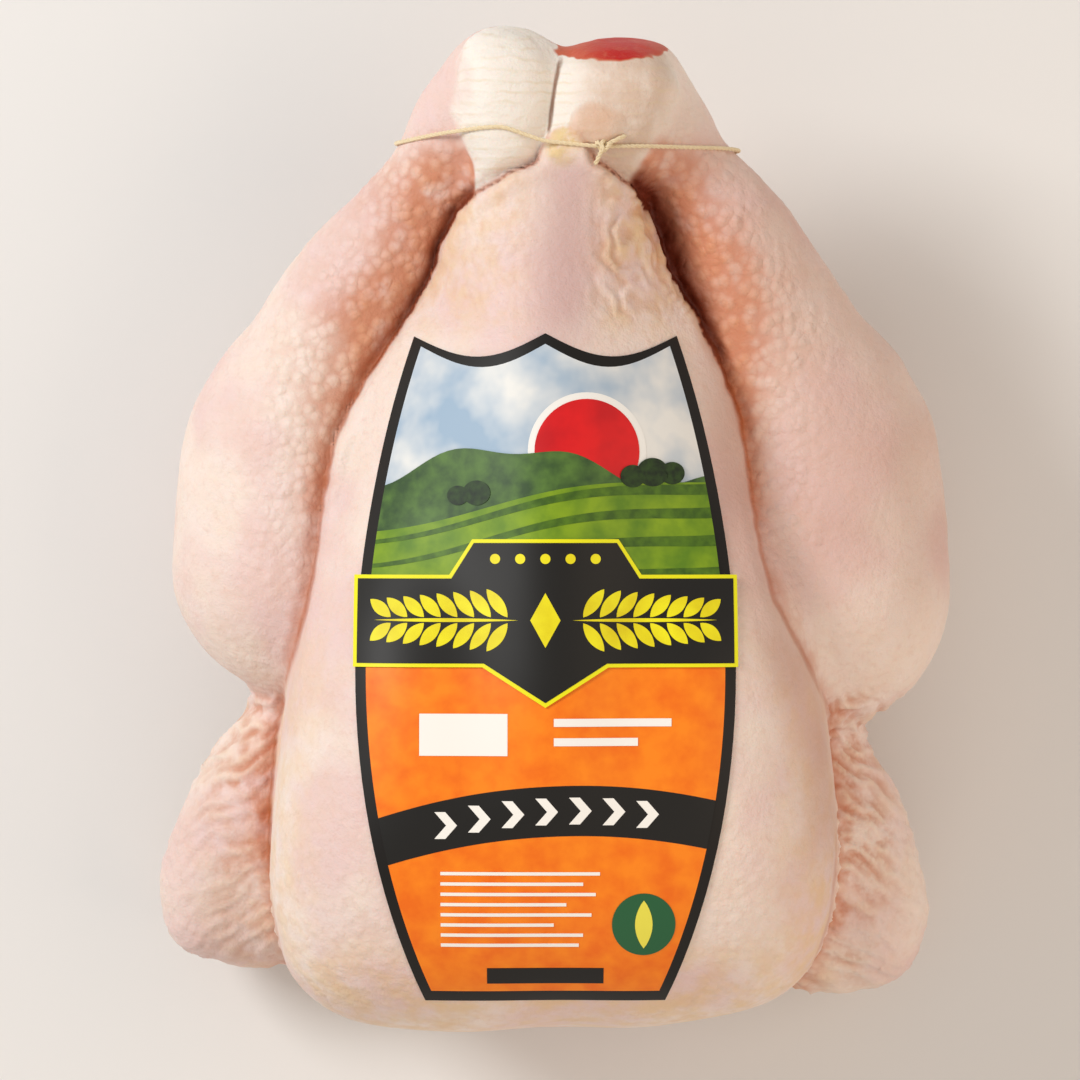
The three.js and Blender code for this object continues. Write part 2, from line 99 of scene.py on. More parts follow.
# The bare shanks, as rows of y, middle x, top z, half width and half depth from the hock down
LEFT_SHANK = (
    (122, -13, 93.5, 3.5, 3), (119.5, -12.3, 97, 8.5, 6), (114, -11, 99.8, 11.6, 9),
    (104, -11.0, 99.6, 11.8, 9), (97, -11.2, 98.3, 10.7, 9), (90, -10.4, 96.6, 8.2, 8),
    (84, -11.6, 95, 6.8, 7), (77, -12.5, 90, 6, 6),
)
RIGHT_SHANK = (
    (116.5, 15, 96.5, 9, 6), (113, 15.2, 99.9, 12.8, 9), (109, 15.8, 100.6, 15.0, 9.5),
    (104, 14.6, 100.5, 14.4, 9.5), (97, 12.6, 99.8, 13.0, 9), (90, 11.2, 98, 10, 8),
    (84, 10.4, 95.5, 7.6, 7), (78, 10, 90, 6, 6),
)

# The lumps of fat at the tongue's tip and beside it, each a middle and its radii
FAT_TIP = ((3.1, 93.6, 97.2), (3.6, 4.4, 1.7))
FAT_LOBE = ((10.4, 98.6, 100.2), (6.6, 4.8, 1.4))

# Where the string's loop lies, as y at each x, over the hocks and under them
STRING_OVER = ((-40, 96.0), (-24, 97.4), (-12, 98.2), (-2, 94.6), (12, 93.2), (30, 93.8), (50, 94.2))
STRING_UNDER = ((-40, 96.0), (50, 94.2))


def linear(colour: str) -> tuple[float, float, float, float]:
    """Turns an sRGB hex colour to the linear one that shaders take.

    Args:
        colour: six hex digits after a hash.

    Returns:
        Red, green, blue and an alpha of 1.
    """
    parts = [int(colour[i : i + 2], 16) / 255 for i in (1, 3, 5)]
    levels = [c / 12.92 if c <= 0.04045 else ((c + 0.055) / 1.055) ** 2.4 for c in parts]
    return (*levels, 1.0)


def smoothstep(low: float | np.ndarray, high: float, value: np.ndarray) -> np.ndarray:
    """Rises smoothly from 0 at low to 1 at high, also where low is the larger."""
    t = np.clip((value - low) / (high - low), 0, 1)
    return t * t * (3 - 2 * t)


def bell(value: np.ndarray, width: float | np.ndarray) -> np.ndarray:
    """A hump of height 1 about zero."""
    return np.exp(-((value / width) ** 2))


def add_node(tree: bpy.types.NodeTree, kind: str, inputs: dict | None = None, **settings) -> bpy.types.Node:
    """Adds a shader node, with its settings, values and links.

    Args:
        tree: the material's node tree.
        kind: the node's type name.
        inputs: value or output socket for each input, by name or number.
        settings: the node's own properties.

    Returns:
        The new node.
    """
    node = tree.nodes.new(kind)
    for name, value in settings.items():
        setattr(node, name, value)
    for key, value in (inputs or {}).items():
        if isinstance(value, bpy.types.NodeSocket):
            tree.links.new(value, node.inputs[key])
        else:
            node.inputs[key].default_value = value
    return node


def new_material(name: str) -> tuple[bpy.types.Material, bpy.types.NodeTree, bpy.types.Node]:
    """Makes a material.

    Args:
        name: the real material's name.

    Returns:
        The material, its node tree and its Principled shader.
    """
    material = bpy.data.materials.new(name)
    material.use_nodes = True
    tree = material.node_tree
    shader = next(n for n in tree.nodes if n.type == "BSDF_PRINCIPLED")
    return material, tree, shader


def select_only(*objects: bpy.types.Object) -> None:
    """Selects some objects alone.

    Args:
        objects: the objects, the first of which becomes the active one.
    """
    bpy.ops.object.select_all(action="DESELECT")
    for thing in objects:
        thing.select_set(True)
    bpy.context.view_layer.objects.active = objects[0]


def apply_modifier(thing: bpy.types.Object, kind: str, **settings) -> None:
    """Adds a modifier and applies it.

    Args:
        thing: the object.
        kind: the modifier's type.
        settings: the modifier's properties.
    """
    select_only(thing)
    modifier = thing.modifiers.new(kind.lower(), kind)
    for name, value in settings.items():
        setattr(modifier, name, value)
    bpy.ops.object.modifier_apply(modifier=modifier.name)


def place_in_mesh(thing: bpy.types.Object) -> None:
    """Puts an object's place, turn and size into its mesh."""
    select_only(thing)
    bpy.ops.object.transform_apply(location=True, rotation=True, scale=True)


def give_material(thing: bpy.types.Object, material: bpy.types.Material) -> None:
    """Makes this the object's only material."""
    thing.data.materials.clear()
    thing.data.materials.append(material)


def mesh_object(name: str, points: Sequence, faces: Sequence) -> bpy.types.Object:
    """Makes an object of points and faces.

    Args:
        name: the object's name.
        points: its points in millimetres.
        faces: the points of each face, by number.

    Returns:
        The object.
    """
    mesh = bpy.data.meshes.new(name)
    mesh.from_pydata([Vector(p) * MM for p in points], [], faces)
    thing = bpy.data.objects.new(name, mesh)
    bpy.context.scene.collection.objects.link(thing)
    return thing


def make_outward(thing: bpy.types.Object) -> None:
    """Turns a closed object's faces outward.

    Args:
        thing: the object.
    """
    select_only(thing)
    bpy.ops.object.mode_set(mode="EDIT")
    bpy.ops.mesh.select_all(action="SELECT")
    bpy.ops.mesh.normals_make_consistent(inside=False)
    bpy.ops.object.mode_set(mode="OBJECT")


def read_points(mesh: bpy.types.Mesh, name: str) -> np.ndarray:
    """Reads one vector of each of a mesh's points.

    Args:
        mesh: the mesh.
        name: "co" for the points' places or "normal" for their normals.

    Returns:
        The vectors, one a row.
    """
    values = np.empty(len(mesh.vertices) * 3)
    mesh.vertices.foreach_get(name, values)
    return values.reshape(-1, 3)


def height_of(surface: BVHTree, x: float, y: float) -> float:
    """Height of a surface above the table at (x, y), straight down on it."""
    hit = surface.ray_cast(Vector((x, y, 200)) * MM, Vector((0, 0, -1)))[0]
    return hit.z / MM if hit else 60.0


def draped_sheet(
    name: str, outlines: Sequence, cell: float, height: Callable[[float, float], float], thickness: float
) -> bpy.types.Object:
    """Makes flat fields, cuts them in cells, drapes them and gives them thickness.

    Args:
        name: the piece's name.
        outlines: closed outlines as (x, y).
        cell: size of the cells.
        height: where the sheet's top lies at (x, y).
        thickness: how thick it is, downward.

    Returns:
        The draped piece.
    """
    mesh = bmesh.new()
    for outline in outlines:
        mesh.faces.new([mesh.verts.new((x, y, 0)) for x, y in outline])
    mesh.normal_update()
    for face in mesh.faces:
        if face.normal.z < 0:
            face.normal_flip()
    for axis in (0, 1):
        values = [vertex.co[axis] for vertex in mesh.verts]
        for step in range(math.ceil(min(values) / cell), math.floor(max(values) / cell) + 1):
            place, across = [0.0, 0.0, 0.0], [0.0, 0.0, 0.0]
            place[axis], across[axis] = step * cell, 1.0
            everything = mesh.verts[:] + mesh.edges[:] + mesh.faces[:]
            bmesh.ops.bisect_plane(mesh, geom=everything, plane_co=place, plane_no=across, dist=1e-5)
    for vertex in mesh.verts:
        x, y, _ = vertex.co
        vertex.co = Vector((x, y, height(x, y))) * MM
    data = bpy.data.meshes.new(name)
    mesh.to_mesh(data)
    mesh.free()
    piece = bpy.data.objects.new(name, data)
    bpy.context.scene.collection.objects.link(piece)
    apply_modifier(piece, "SOLIDIFY", thickness=thickness * MM, offset=-1.0)
    return piece


def inside_outline(x: np.ndarray, y: np.ndarray, outline: Sequence) -> np.ndarray:
    """Measures how far points lie inside a closed outline.

    Args:
        x: the points' x.
        y: the points' y.
        outline: the outline's corners in order.

    Returns:
        The distance to the outline, below 0 outside it.
    """
    nearest = np.full(len(x), 1e9)
    odd = np.zeros(len(x), dtype=bool)
    for (x0, y0), (x1, y1) in zip(outline, (*outline[1:], outline[0])):
        dx, dy = x1 - x0, y1 - y0
        t = np.clip(((x - x0) * dx + (y - y0) * dy) / (dx * dx + dy * dy), 0, 1)
        nearest = np.minimum(nearest, np.hypot(x - x0 - t * dx, y - y0 - t * dy))
        crosses = (y0 > y) != (y1 > y)
        if dy:
            odd ^= crosses & (x < x0 + (y - y0) / dy * dx)
    return np.where(odd, nearest, -nearest)


def cloud_at(place: np.ndarray, size: float) -> np.ndarray:
    """Smooth noise from about -1 to 1 at each point, with features of this size."""
    return np.array([noise.noise(Vector(point) / size) for point in place])


class Painted(Enum):
    """The fields that the sculptor paints on the skin's points, by the name of each attribute."""

    EDGE = "edge"
    CREASE = "crease"
    WARM = "warm"
    HOLLOW = "hollow"
    SHANK = "shank"
    RUDDY = "ruddy"
    BETWEEN = "between"
    PIMPLE = "pimple"
    VALLEY = "valley"
    KEEL = "keel"
    FAT = "fat"
    TIP = "tip"
    FLUSH = "flush"
    LOBE = "lobe"
    CUT = "cut"
    RAW = "raw"


class Pattern(Enum):
    """The skin's procedural patterns."""

    PATCHES = "patches"
    MOTTLE = "mottle"
    SPECKS = "specks"
    WRINKLES = "wrinkles"
    PEBBLES = "pebbles"
    RINGS = "rings"


class InkLayer(IntEnum):
    """How many sheets lie under each printed field of the label."""

    PAPER = 0
    GROUND = 1
    SUN_RIM = 2
    SUN = 3
    HILLS = 4
    FIELDS = 5
    STRIPES = 6
    TREES = 7
    BANNER_LINE = 8
    BANNER = 9
    EARS = 10
    RIBBON = 2
    MARKS = 3
    LEAF = 4


@dataclass(frozen=True)
class Mask:
    """Where a colour or a relief shows: a field or a pattern, stretched from its reach to 0..top."""

    source: Painted | Pattern
    reach: tuple[float, float] | None = None
    top: float = 1.0


@dataclass(frozen=True)
class Coat:
    """A colour laid on where its masks, multiplied, say so, with its own coats over it."""

    colour: str
    masks: tuple[Mask, ...]
    over: tuple["Coat", ...] = ()


@dataclass(frozen=True)
class Relief:
    """A fine relief in the shading: its height by its masks, its strength and its depth."""

    masks: tuple[Mask, ...]
    strength: float
    depth: float


@dataclass(frozen=True)
class RawSkin:
    """Raw poultry skin: thin, moist and a little see-through, so its gloss is soft and its
    colour shifts from cream over fat to pink over muscle."""

    cream: str = "#f1ded2"
    pink: str = "#e9cbc4"
    # the skin's pink specks, also used as painted shade between the follicle bumps
    speck_and_gap_shade: str = "#dcb3a2"
    fat: str = "#e9c592"
    # warm painted shade beside the breast's crease
    warm: str = "#dc9062"
    # painted shade in the dips between the follicle bumps and in the folds' valleys
    dip_shade: str = "#c0602a"
    # painted shade in the crease round the breast
    crease: str = "#b45a26"
    # painted shade in the cleft where the two shanks touch
    cleft: str = "#86583a"
    # painted shadow in the deep hollows beside the belly's tongue
    hollow: str = "#6e2710"
    shank: str = "#f3eadf"
    shank_ruddy: str = "#d9bca6"
    shank_line: str = "#e0cba6"
    keel: str = "#cfaca6"
    # painted shade on the right side, away from the key light
    flush: str = "#cba090"
    tip: str = "#e2c58a"
    lobe: str = "#ddb08f"
    flesh: str = "#c00c05"
    flesh_rim: str = "#cc6c4c"
    patch_size: float = 34.0
    mottle_size: float = 8.0
    speck_size: float = 2.2
    pebble_size: float = 3.0
    wrinkle_size: float = 0.9
    ring_gap: float = 2.6
    roughness: tuple[float, float] = (0.44, 0.64)

    def coats(self) -> tuple[Coat, ...]:
        """The colours over the cream one, in the order they are laid.

        Returns:
            Pink patches and specks, fat, keel, painted shade on the right, warm painted shade by the breast,
            the pebbled follicles and painted shade between them, painted shade in the folds' valleys, the
            bare shanks, painted shade in the creases, hollows and cleft, the two lumps of fat and the cut.
        """
        edge, crease, warm = Painted.EDGE, Painted.CREASE, Painted.WARM
        mottle, specks, pebbles = Pattern.MOTTLE, Pattern.SPECKS, Pattern.PEBBLES
        ruddy = Coat(self.shank_ruddy, (Mask(Painted.RUDDY), Mask(mottle, (0.0, 0.6), 0.9)))
        lines = Coat(self.shank_line, (Mask(Pattern.RINGS, (0.7, 1.0)), Mask(mottle, (0.35, 0.7), 0.4)))
        middle = (Mask(Painted.CUT, (0.3, 1.5)), Mask(Painted.RAW), Mask(specks, (0.1, 0.5)))
        flesh = Coat(self.flesh, middle)
        # where the crease's painted shade spreads onto the limb beside the breast
        beside = (
            Mask(edge, (-5.0, 0.2)), Mask(edge, (1.4, 0.3)), Mask(crease), Mask(warm, (0.0, 0.7), 0.75),
        )
        # painted shade between the follicle bumps
        pebble_gap_shade = (Mask(pebbles, (0.3, 0.8), 0.3), Mask(Painted.PIMPLE), Mask(mottle, (0.2, 0.65)))
        return (
            Coat(self.pink, (Mask(Pattern.PATCHES, (0.4, 0.62)),)),
            Coat(self.speck_and_gap_shade, (Mask(specks, (0.5, 0.78), 0.3),)),
            Coat(self.fat, (Mask(Painted.FAT), Mask(mottle, (0.3, 0.7), 0.85))),
            Coat(self.keel, (Mask(Painted.KEEL),)),
            # painted shade on the right leg and the breast's right edge
            Coat(self.flush, (Mask(Painted.FLUSH),)),
            # warm painted shade on the limbs beside the breast
            Coat(self.warm, (Mask(warm, (0.0, 0.9), 0.8), Mask(mottle, (0.1, 0.6)))),
            Coat(self.speck_and_gap_shade, pebble_gap_shade),
            # painted shade in the dips between the follicle bumps, where the warm shade lies
            Coat(self.dip_shade, (Mask(pebbles, (0.25, 0.75), 0.4), Mask(warm, (0.05, 0.6)))),
            # painted shade in the valleys of the wing and belly folds
            Coat(self.dip_shade, (Mask(Painted.VALLEY), Mask(mottle, (0.3, 0.6), 0.65))),
            Coat(self.shank, (Mask(Painted.SHANK, (-0.4, 0.5)),), (ruddy, lines)),
            # painted shade of the crease, spread onto the limb beside the breast
            Coat(self.crease, beside),
            # a thin line of painted shade in the crease itself
            Coat(self.crease, (Mask(edge, (-1.3, -0.1), 0.55), Mask(edge, (0.9, 0.1)), Mask(crease))),
            # painted shadow in the hollows beside the tongue
            Coat(self.hollow, (Mask(Painted.HOLLOW, (0.1, 0.95)),)),
            # painted shade in the cleft between the shanks
            Coat(self.cleft, (Mask(Painted.BETWEEN, (0.2, 0.9), 0.85),)),
            Coat(self.tip, (Mask(Painted.TIP, (0.1, 0.9), 0.9), Mask(specks, (0.2, 0.55)))),
            Coat(self.lobe, (Mask(Painted.LOBE, (0.1, 0.9), 0.65),)),
            Coat(self.flesh_rim, (Mask(Painted.CUT, (-0.3, 0.7)),), (flesh,)),
        )

    def reliefs(self) -> tuple[Relief, ...]:
        """The fine reliefs, each laid on the one before.

        Returns:
            The tuck beside the breast, pebbles, grain, the shanks' rings and the finest wrinkles.
        """
        mottle = Mask(Pattern.MOTTLE, (0.1, 0.6))
        pebbles = (Mask(Pattern.PEBBLES, (0.75, 0.05)), Mask(Painted.PIMPLE), mottle)
        return (
            Relief((Mask(Painted.EDGE, (-0.8, 1.0)), Mask(Painted.CREASE)), 0.9, 0.9),
            Relief(pebbles, 0.8, 0.6),
            Relief((Mask(Pattern.SPECKS),), 0.6, 0.5),
            Relief((Mask(Pattern.RINGS), Mask(Painted.SHANK, (-0.4, 0.5))), 0.2, 0.3),
            Relief((Mask(Pattern.WRINKLES),), 0.6, 0.3),
        )

    def sources(self, tree: bpy.types.NodeTree) -> dict[Painted | Pattern, bpy.types.NodeSocket]:
        """Adds the painted fields and the patterns, each at its size on the real skin.

        Args:
            tree: the material's node tree.

        Returns:
            The socket that each is read from.
        """
        found: dict[Painted | Pattern, bpy.types.NodeSocket] = {
            painted: add_node(tree, "ShaderNodeAttribute", attribute_name=painted.value).outputs["Fac"]
            for painted in Painted
        }
        place = add_node(tree, "ShaderNodeTexCoord").outputs["Object"]
        clouds = (
            (Pattern.PATCHES, self.patch_size, 2.0, 0.5), (Pattern.MOTTLE, self.mottle_size, 3.0, 0.6),
            (Pattern.SPECKS, self.speck_size, 3.0, 0.6), (Pattern.WRINKLES, self.wrinkle_size, 3.0, 0.6),
        )
        for pattern, size, detail, rough in clouds:
            inputs = {"Vector": place, "Scale": 1 / (size * MM), "Detail": detail, "Roughness": rough}
            found[pattern] = add_node(tree, "ShaderNodeTexNoise", inputs).outputs["Fac"]
        inputs = {"Vector": place, "Scale": 1 / (self.pebble_size * MM)}
        cells = add_node(tree, "ShaderNodeTexVoronoi", inputs, feature="F1")
        found[Pattern.PEBBLES] = cells.outputs["Distance"]
        inputs = {
            "Vector": place, "Scale": WAVE_REPEAT / (self.ring_gap * MM), "Distortion": 9.0, "Detail": 3.0,
            "Detail Scale": 0.5, "Detail Roughness": 0.6,
        }
        bands = add_node(tree, "ShaderNodeTexWave", inputs, bands_direction="Y")
        found[Pattern.RINGS] = bands.outputs["Fac"]
        return found

    @staticmethod
    def share(tree: bpy.types.NodeTree, sources: dict, masks: Sequence[Mask]) -> bpy.types.NodeSocket:
        """Stretches masks smoothly and multiplies them.

        Args:
            tree: the material's node tree.
            sources: the socket of each field and pattern.
            masks: what to multiply.

        Returns:
            The share of the surface that a coat or a relief takes.
        """
        product = None
        for mask in masks:
            value = sources[mask.source]
            if mask.reach:
                low, high = mask.reach
                inputs = {"Value": value, "From Min": low, "From Max": high, "To Max": mask.top}
                stretch = add_node(tree, "ShaderNodeMapRange", inputs, interpolation_type="SMOOTHSTEP")
                value = stretch.outputs[0]
            if product is not None:
                both = add_node(tree, "ShaderNodeMath", {0: product, 1: value}, operation="MULTIPLY")
                value = both.outputs[0]
            product = value
        return product

    def lay(self, tree: bpy.types.NodeTree, sources: dict, under: object, coats: Sequence[Coat]) -> object:
        """Lays coats of colour one over another.

        Args:
            tree: the material's node tree.
            sources: the socket of each field and pattern.
            under: the colour they are laid on, as a value or a socket.
            coats: the coats, the lowest first.

        Returns:
            The colour that shows, as a socket, or the one beneath where there are no coats.
        """
        for coat in coats:
            colour = self.lay(tree, sources, linear(coat.colour), coat.over)
            inputs = {MIX_SHARE: self.share(tree, sources, coat.masks), MIX_FIRST: under, MIX_SECOND: colour}
            under = add_node(tree, "ShaderNodeMix", inputs, data_type="RGBA").outputs[MIX_RESULT]
        return under

    def build(self) -> bpy.types.Material:
        """Makes the skin's material, which reads the sculptor's fields on the mesh.

        Returns:
            The material.
        """
        material, tree, shader = new_material("raw_poultry_skin")
        sources = self.sources(tree)
        tree.links.new(self.lay(tree, sources, linear(self.cream), self.coats()), shader.inputs["Base Color"])
        below = {}
        for relief in self.reliefs():
            inputs = {
                "Height": self.share(tree, sources, relief.masks), "Strength": relief.strength,
                "Distance": relief.depth * MM, **below,
            }
            below = {"Normal": add_node(tree, "ShaderNodeBump", inputs).outputs["Normal"]}
        tree.links.new(below["Normal"], shader.inputs["Normal"])
        smooth, dull = self.roughness
        inputs = {"Value": sources[Pattern.MOTTLE], "To Min": smooth, "To Max": dull}
        tree.links.new(add_node(tree, "ShaderNodeMapRange", inputs).outputs[0], shader.inputs["Roughness"])
        shader.inputs["IOR"].default_value = 1.42
        shader.inputs["Subsurface Weight"].default_value = 0.15
        shader.inputs["Subsurface Radius"].default_value = (1.0, 0.5, 0.35)
        shader.inputs["Subsurface Scale"].default_value = 1.5 * MM
        shader.inputs["Coat Weight"].default_value = 0.06
        shader.inputs["Coat Roughness"].default_value = 0.4
        return material


@dataclass(frozen=True)
class PrintedFilm:
    """A field of ink on coated label paper: flat, even and satin, with a faint printed mottle."""

    name: str
    colour: str
    second: str = ""
    mottle_size: float = 3.0
    roughness: float = 0.5

    def build(self) -> bpy.types.Material:
        """Makes the ink's material, mottled where it has a second colour.

        Returns:
            The material.
        """
        material, tree, shader = new_material(self.name)
        shader.inputs["Base Color"].default_value = linear(self.colour)
        if self.second:
            place = add_node(tree, "ShaderNodeTexCoord").outputs["Object"]
            noise_inputs = {"Vector": place, "Scale": 1 / (self.mottle_size * MM), "Detail": 3.0}
            grain = add_node(tree, "ShaderNodeTexNoise", noise_inputs).outputs["Fac"]
            stretch = {"Value": grain, "From Min": 0.35, "From Max": 0.7}
            amount = add_node(tree, "ShaderNodeMapRange", stretch).outputs[0]
            inputs = {MIX_SHARE: amount, MIX_FIRST: linear(self.colour), MIX_SECOND: linear(self.second)}
            mixed = add_node(tree, "ShaderNodeMix", inputs, data_type="RGBA").outputs[MIX_RESULT]
            tree.links.new(mixed, shader.inputs["Base Color"])
        shader.inputs["Roughness"].default_value = self.roughness
        shader.inputs["Specular IOR Level"].default_value = 0.3
        return material


@dataclass(frozen=True)
class WovenElastic:
    """Elastic kitchen string: soft cream fibres over rubber, matt and slightly fuzzy to the eye."""

    light: str = "#f6e7c6"
    shade: str = "#dcc190"
    fibre_size: float = 0.5

    def build(self) -> bpy.types.Material:
        """Makes the string's material.

        Returns:
            The material.
        """
        material, tree, shader = new_material("elastic_string")
        place = add_node(tree, "ShaderNodeTexCoord").outputs["Object"]
        inputs = {"Vector": place, "Scale": 1 / (self.fibre_size * MM), "Detail": 3.0, "Distortion": 0.6}
        fibres = add_node(tree, "ShaderNodeTexNoise", inputs).outputs["Fac"]
        inputs = {MIX_SHARE: fibres, MIX_FIRST: linear(self.light), MIX_SECOND: linear(self.shade)}
        mixed = add_node(tree, "ShaderNodeMix", inputs, data_type="RGBA").outputs[MIX_RESULT]
        tree.links.new(mixed, shader.inputs["Base Color"])
        inputs = {"Height": fibres, "Strength": 0.5, "Distance": 0.1 * MM}
        tree.links.new(add_node(tree, "ShaderNodeBump", inputs).outputs["Normal"], shader.inputs["Normal"])
        shader.inputs["Roughness"].default_value = 0.75
        shader.inputs["Sheen Weight"].default_value = 0.2
        return material


@dataclass
class SkinMap:
    """The skin's points, with the noise and the regions that the sculptor reads at each.

    Regions are shares from 0 to 1. The edge and the shank are millimetres inside the breast's edge
    and inside a bare shank.
    """

    place: np.ndarray
    normal: np.ndarray
    x: np.ndarray = field(init=False)
    y: np.ndarray = field(init=False)
    z: np.ndarray = field(init=False)
    tiny: np.ndarray = field(init=False)
    small: np.ndarray = field(init=False)
    middling: np.ndarray = field(init=False)
    large: np.ndarray = field(init=False)
    edge: np.ndarray = field(init=False)
    facing: np.ndarray = field(init=False)
    trunk: np.ndarray = field(init=False)
    limb: np.ndarray = field(init=False)
    label: np.ndarray = field(init=False)
    shank: np.ndarray = field(init=False)
    between: np.ndarray = field(init=False)
    bare: np.ndarray = field(init=False)
    wing: np.ndarray = field(init=False)
    leg: np.ndarray = field(init=False)

    def __post_init__(self) -> None:
        """Works out the noise and the regions from the points."""
        self.x, self.y, self.z = self.place.T.copy()
        self.tiny, self.small, self.middling, self.large = (
            cloud_at(self.place, size) for size in NOISE_SIZES
        )
        self.edge = inside_outline(self.x, self.y, TRUNK_EDGE)
        self.edge += 0.9 * self.small * smoothstep(-60, 60, self.y)
        upward = smoothstep(-0.1, 0.3, self.normal[:, 2])
        table_side = 48 - 34 * smoothstep(-28, -44, self.y)
        self.facing = upward * smoothstep(0, 12, self.z - table_side)
        self.trunk = smoothstep(-0.6, 0.6, self.edge) * self.facing
        self.limb = 1 - self.trunk
        self.label = self.under_label() * upward
        self.shank, self.between = self.shanks()
        self.bare = smoothstep(-0.8, 0.8, self.shank)
        low_end = smoothstep(*LEG_FOOT, self.y)
        beside = smoothstep(46, 38, self.z) * smoothstep(16, 4, self.edge)
        outside = np.maximum(smoothstep(0.8, -0.8, self.edge), beside)
        self.wing = outside * low_end * smoothstep(80, 68, self.z) * smoothstep(8, 18, self.z)
        self.leg = self.limb * (1 - low_end) * smoothstep(112, 84, self.y) * (1 - self.bare)

    def under_label(self) -> np.ndarray:
        """Finds the skin that the label covers.

        Returns:
            1 under the label and 0 from 4 mm outside it.
        """
        low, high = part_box("label")
        foot, top = low.y / MM, high.y / MM
        middle = (low.x + high.x) / 2 / MM
        widths = np.interp(self.y, (foot, -50, top), (29, 45.5, 32))
        reach = np.minimum(widths - np.abs(self.x - middle), self.y - foot)
        return smoothstep(-4, -1, np.minimum(reach, top - self.y))

    def shanks(self) -> tuple[np.ndarray, np.ndarray]:
        """Finds the two bare shanks and the cleft where they touch.

        Returns:
            How far inside a shank each point lies, and a share that is 1 in the cleft.
        """
        x, y, z = self.x, self.y, self.z
        reaches = []
        for stations in (LEFT_SHANK, RIGHT_SHANK):
            rows = np.array(stations[::-1], float)
            heights, middles, halves = rows[:, 0], rows[:, 1], rows[:, 3]
            middle = np.interp(y, heights, middles)
            half = np.interp(np.minimum(y, heights[halves.argmax()]), heights, halves)
            outer = (x - middle) * math.copysign(1, middles[0]) > 0
            softness = np.where(outer, 1 + 1.6 * (x > 0) + 5 * smoothstep(90, 106, y), 1)
            reaches.append((half - np.abs(x - middle)) / softness)
        reach = np.minimum(np.maximum(*reaches), -self.edge) - 12 * smoothstep(90, 78, z)
        cleft = 2.6 * np.clip((y - 97.8) / 16.9, 0, 1) ** 1.5 - 0.4
        along = smoothstep(95, 98, y) * smoothstep(117, 113, y)
        return reach, bell(x - cleft, 0.8) * along * smoothstep(80, 86, z)


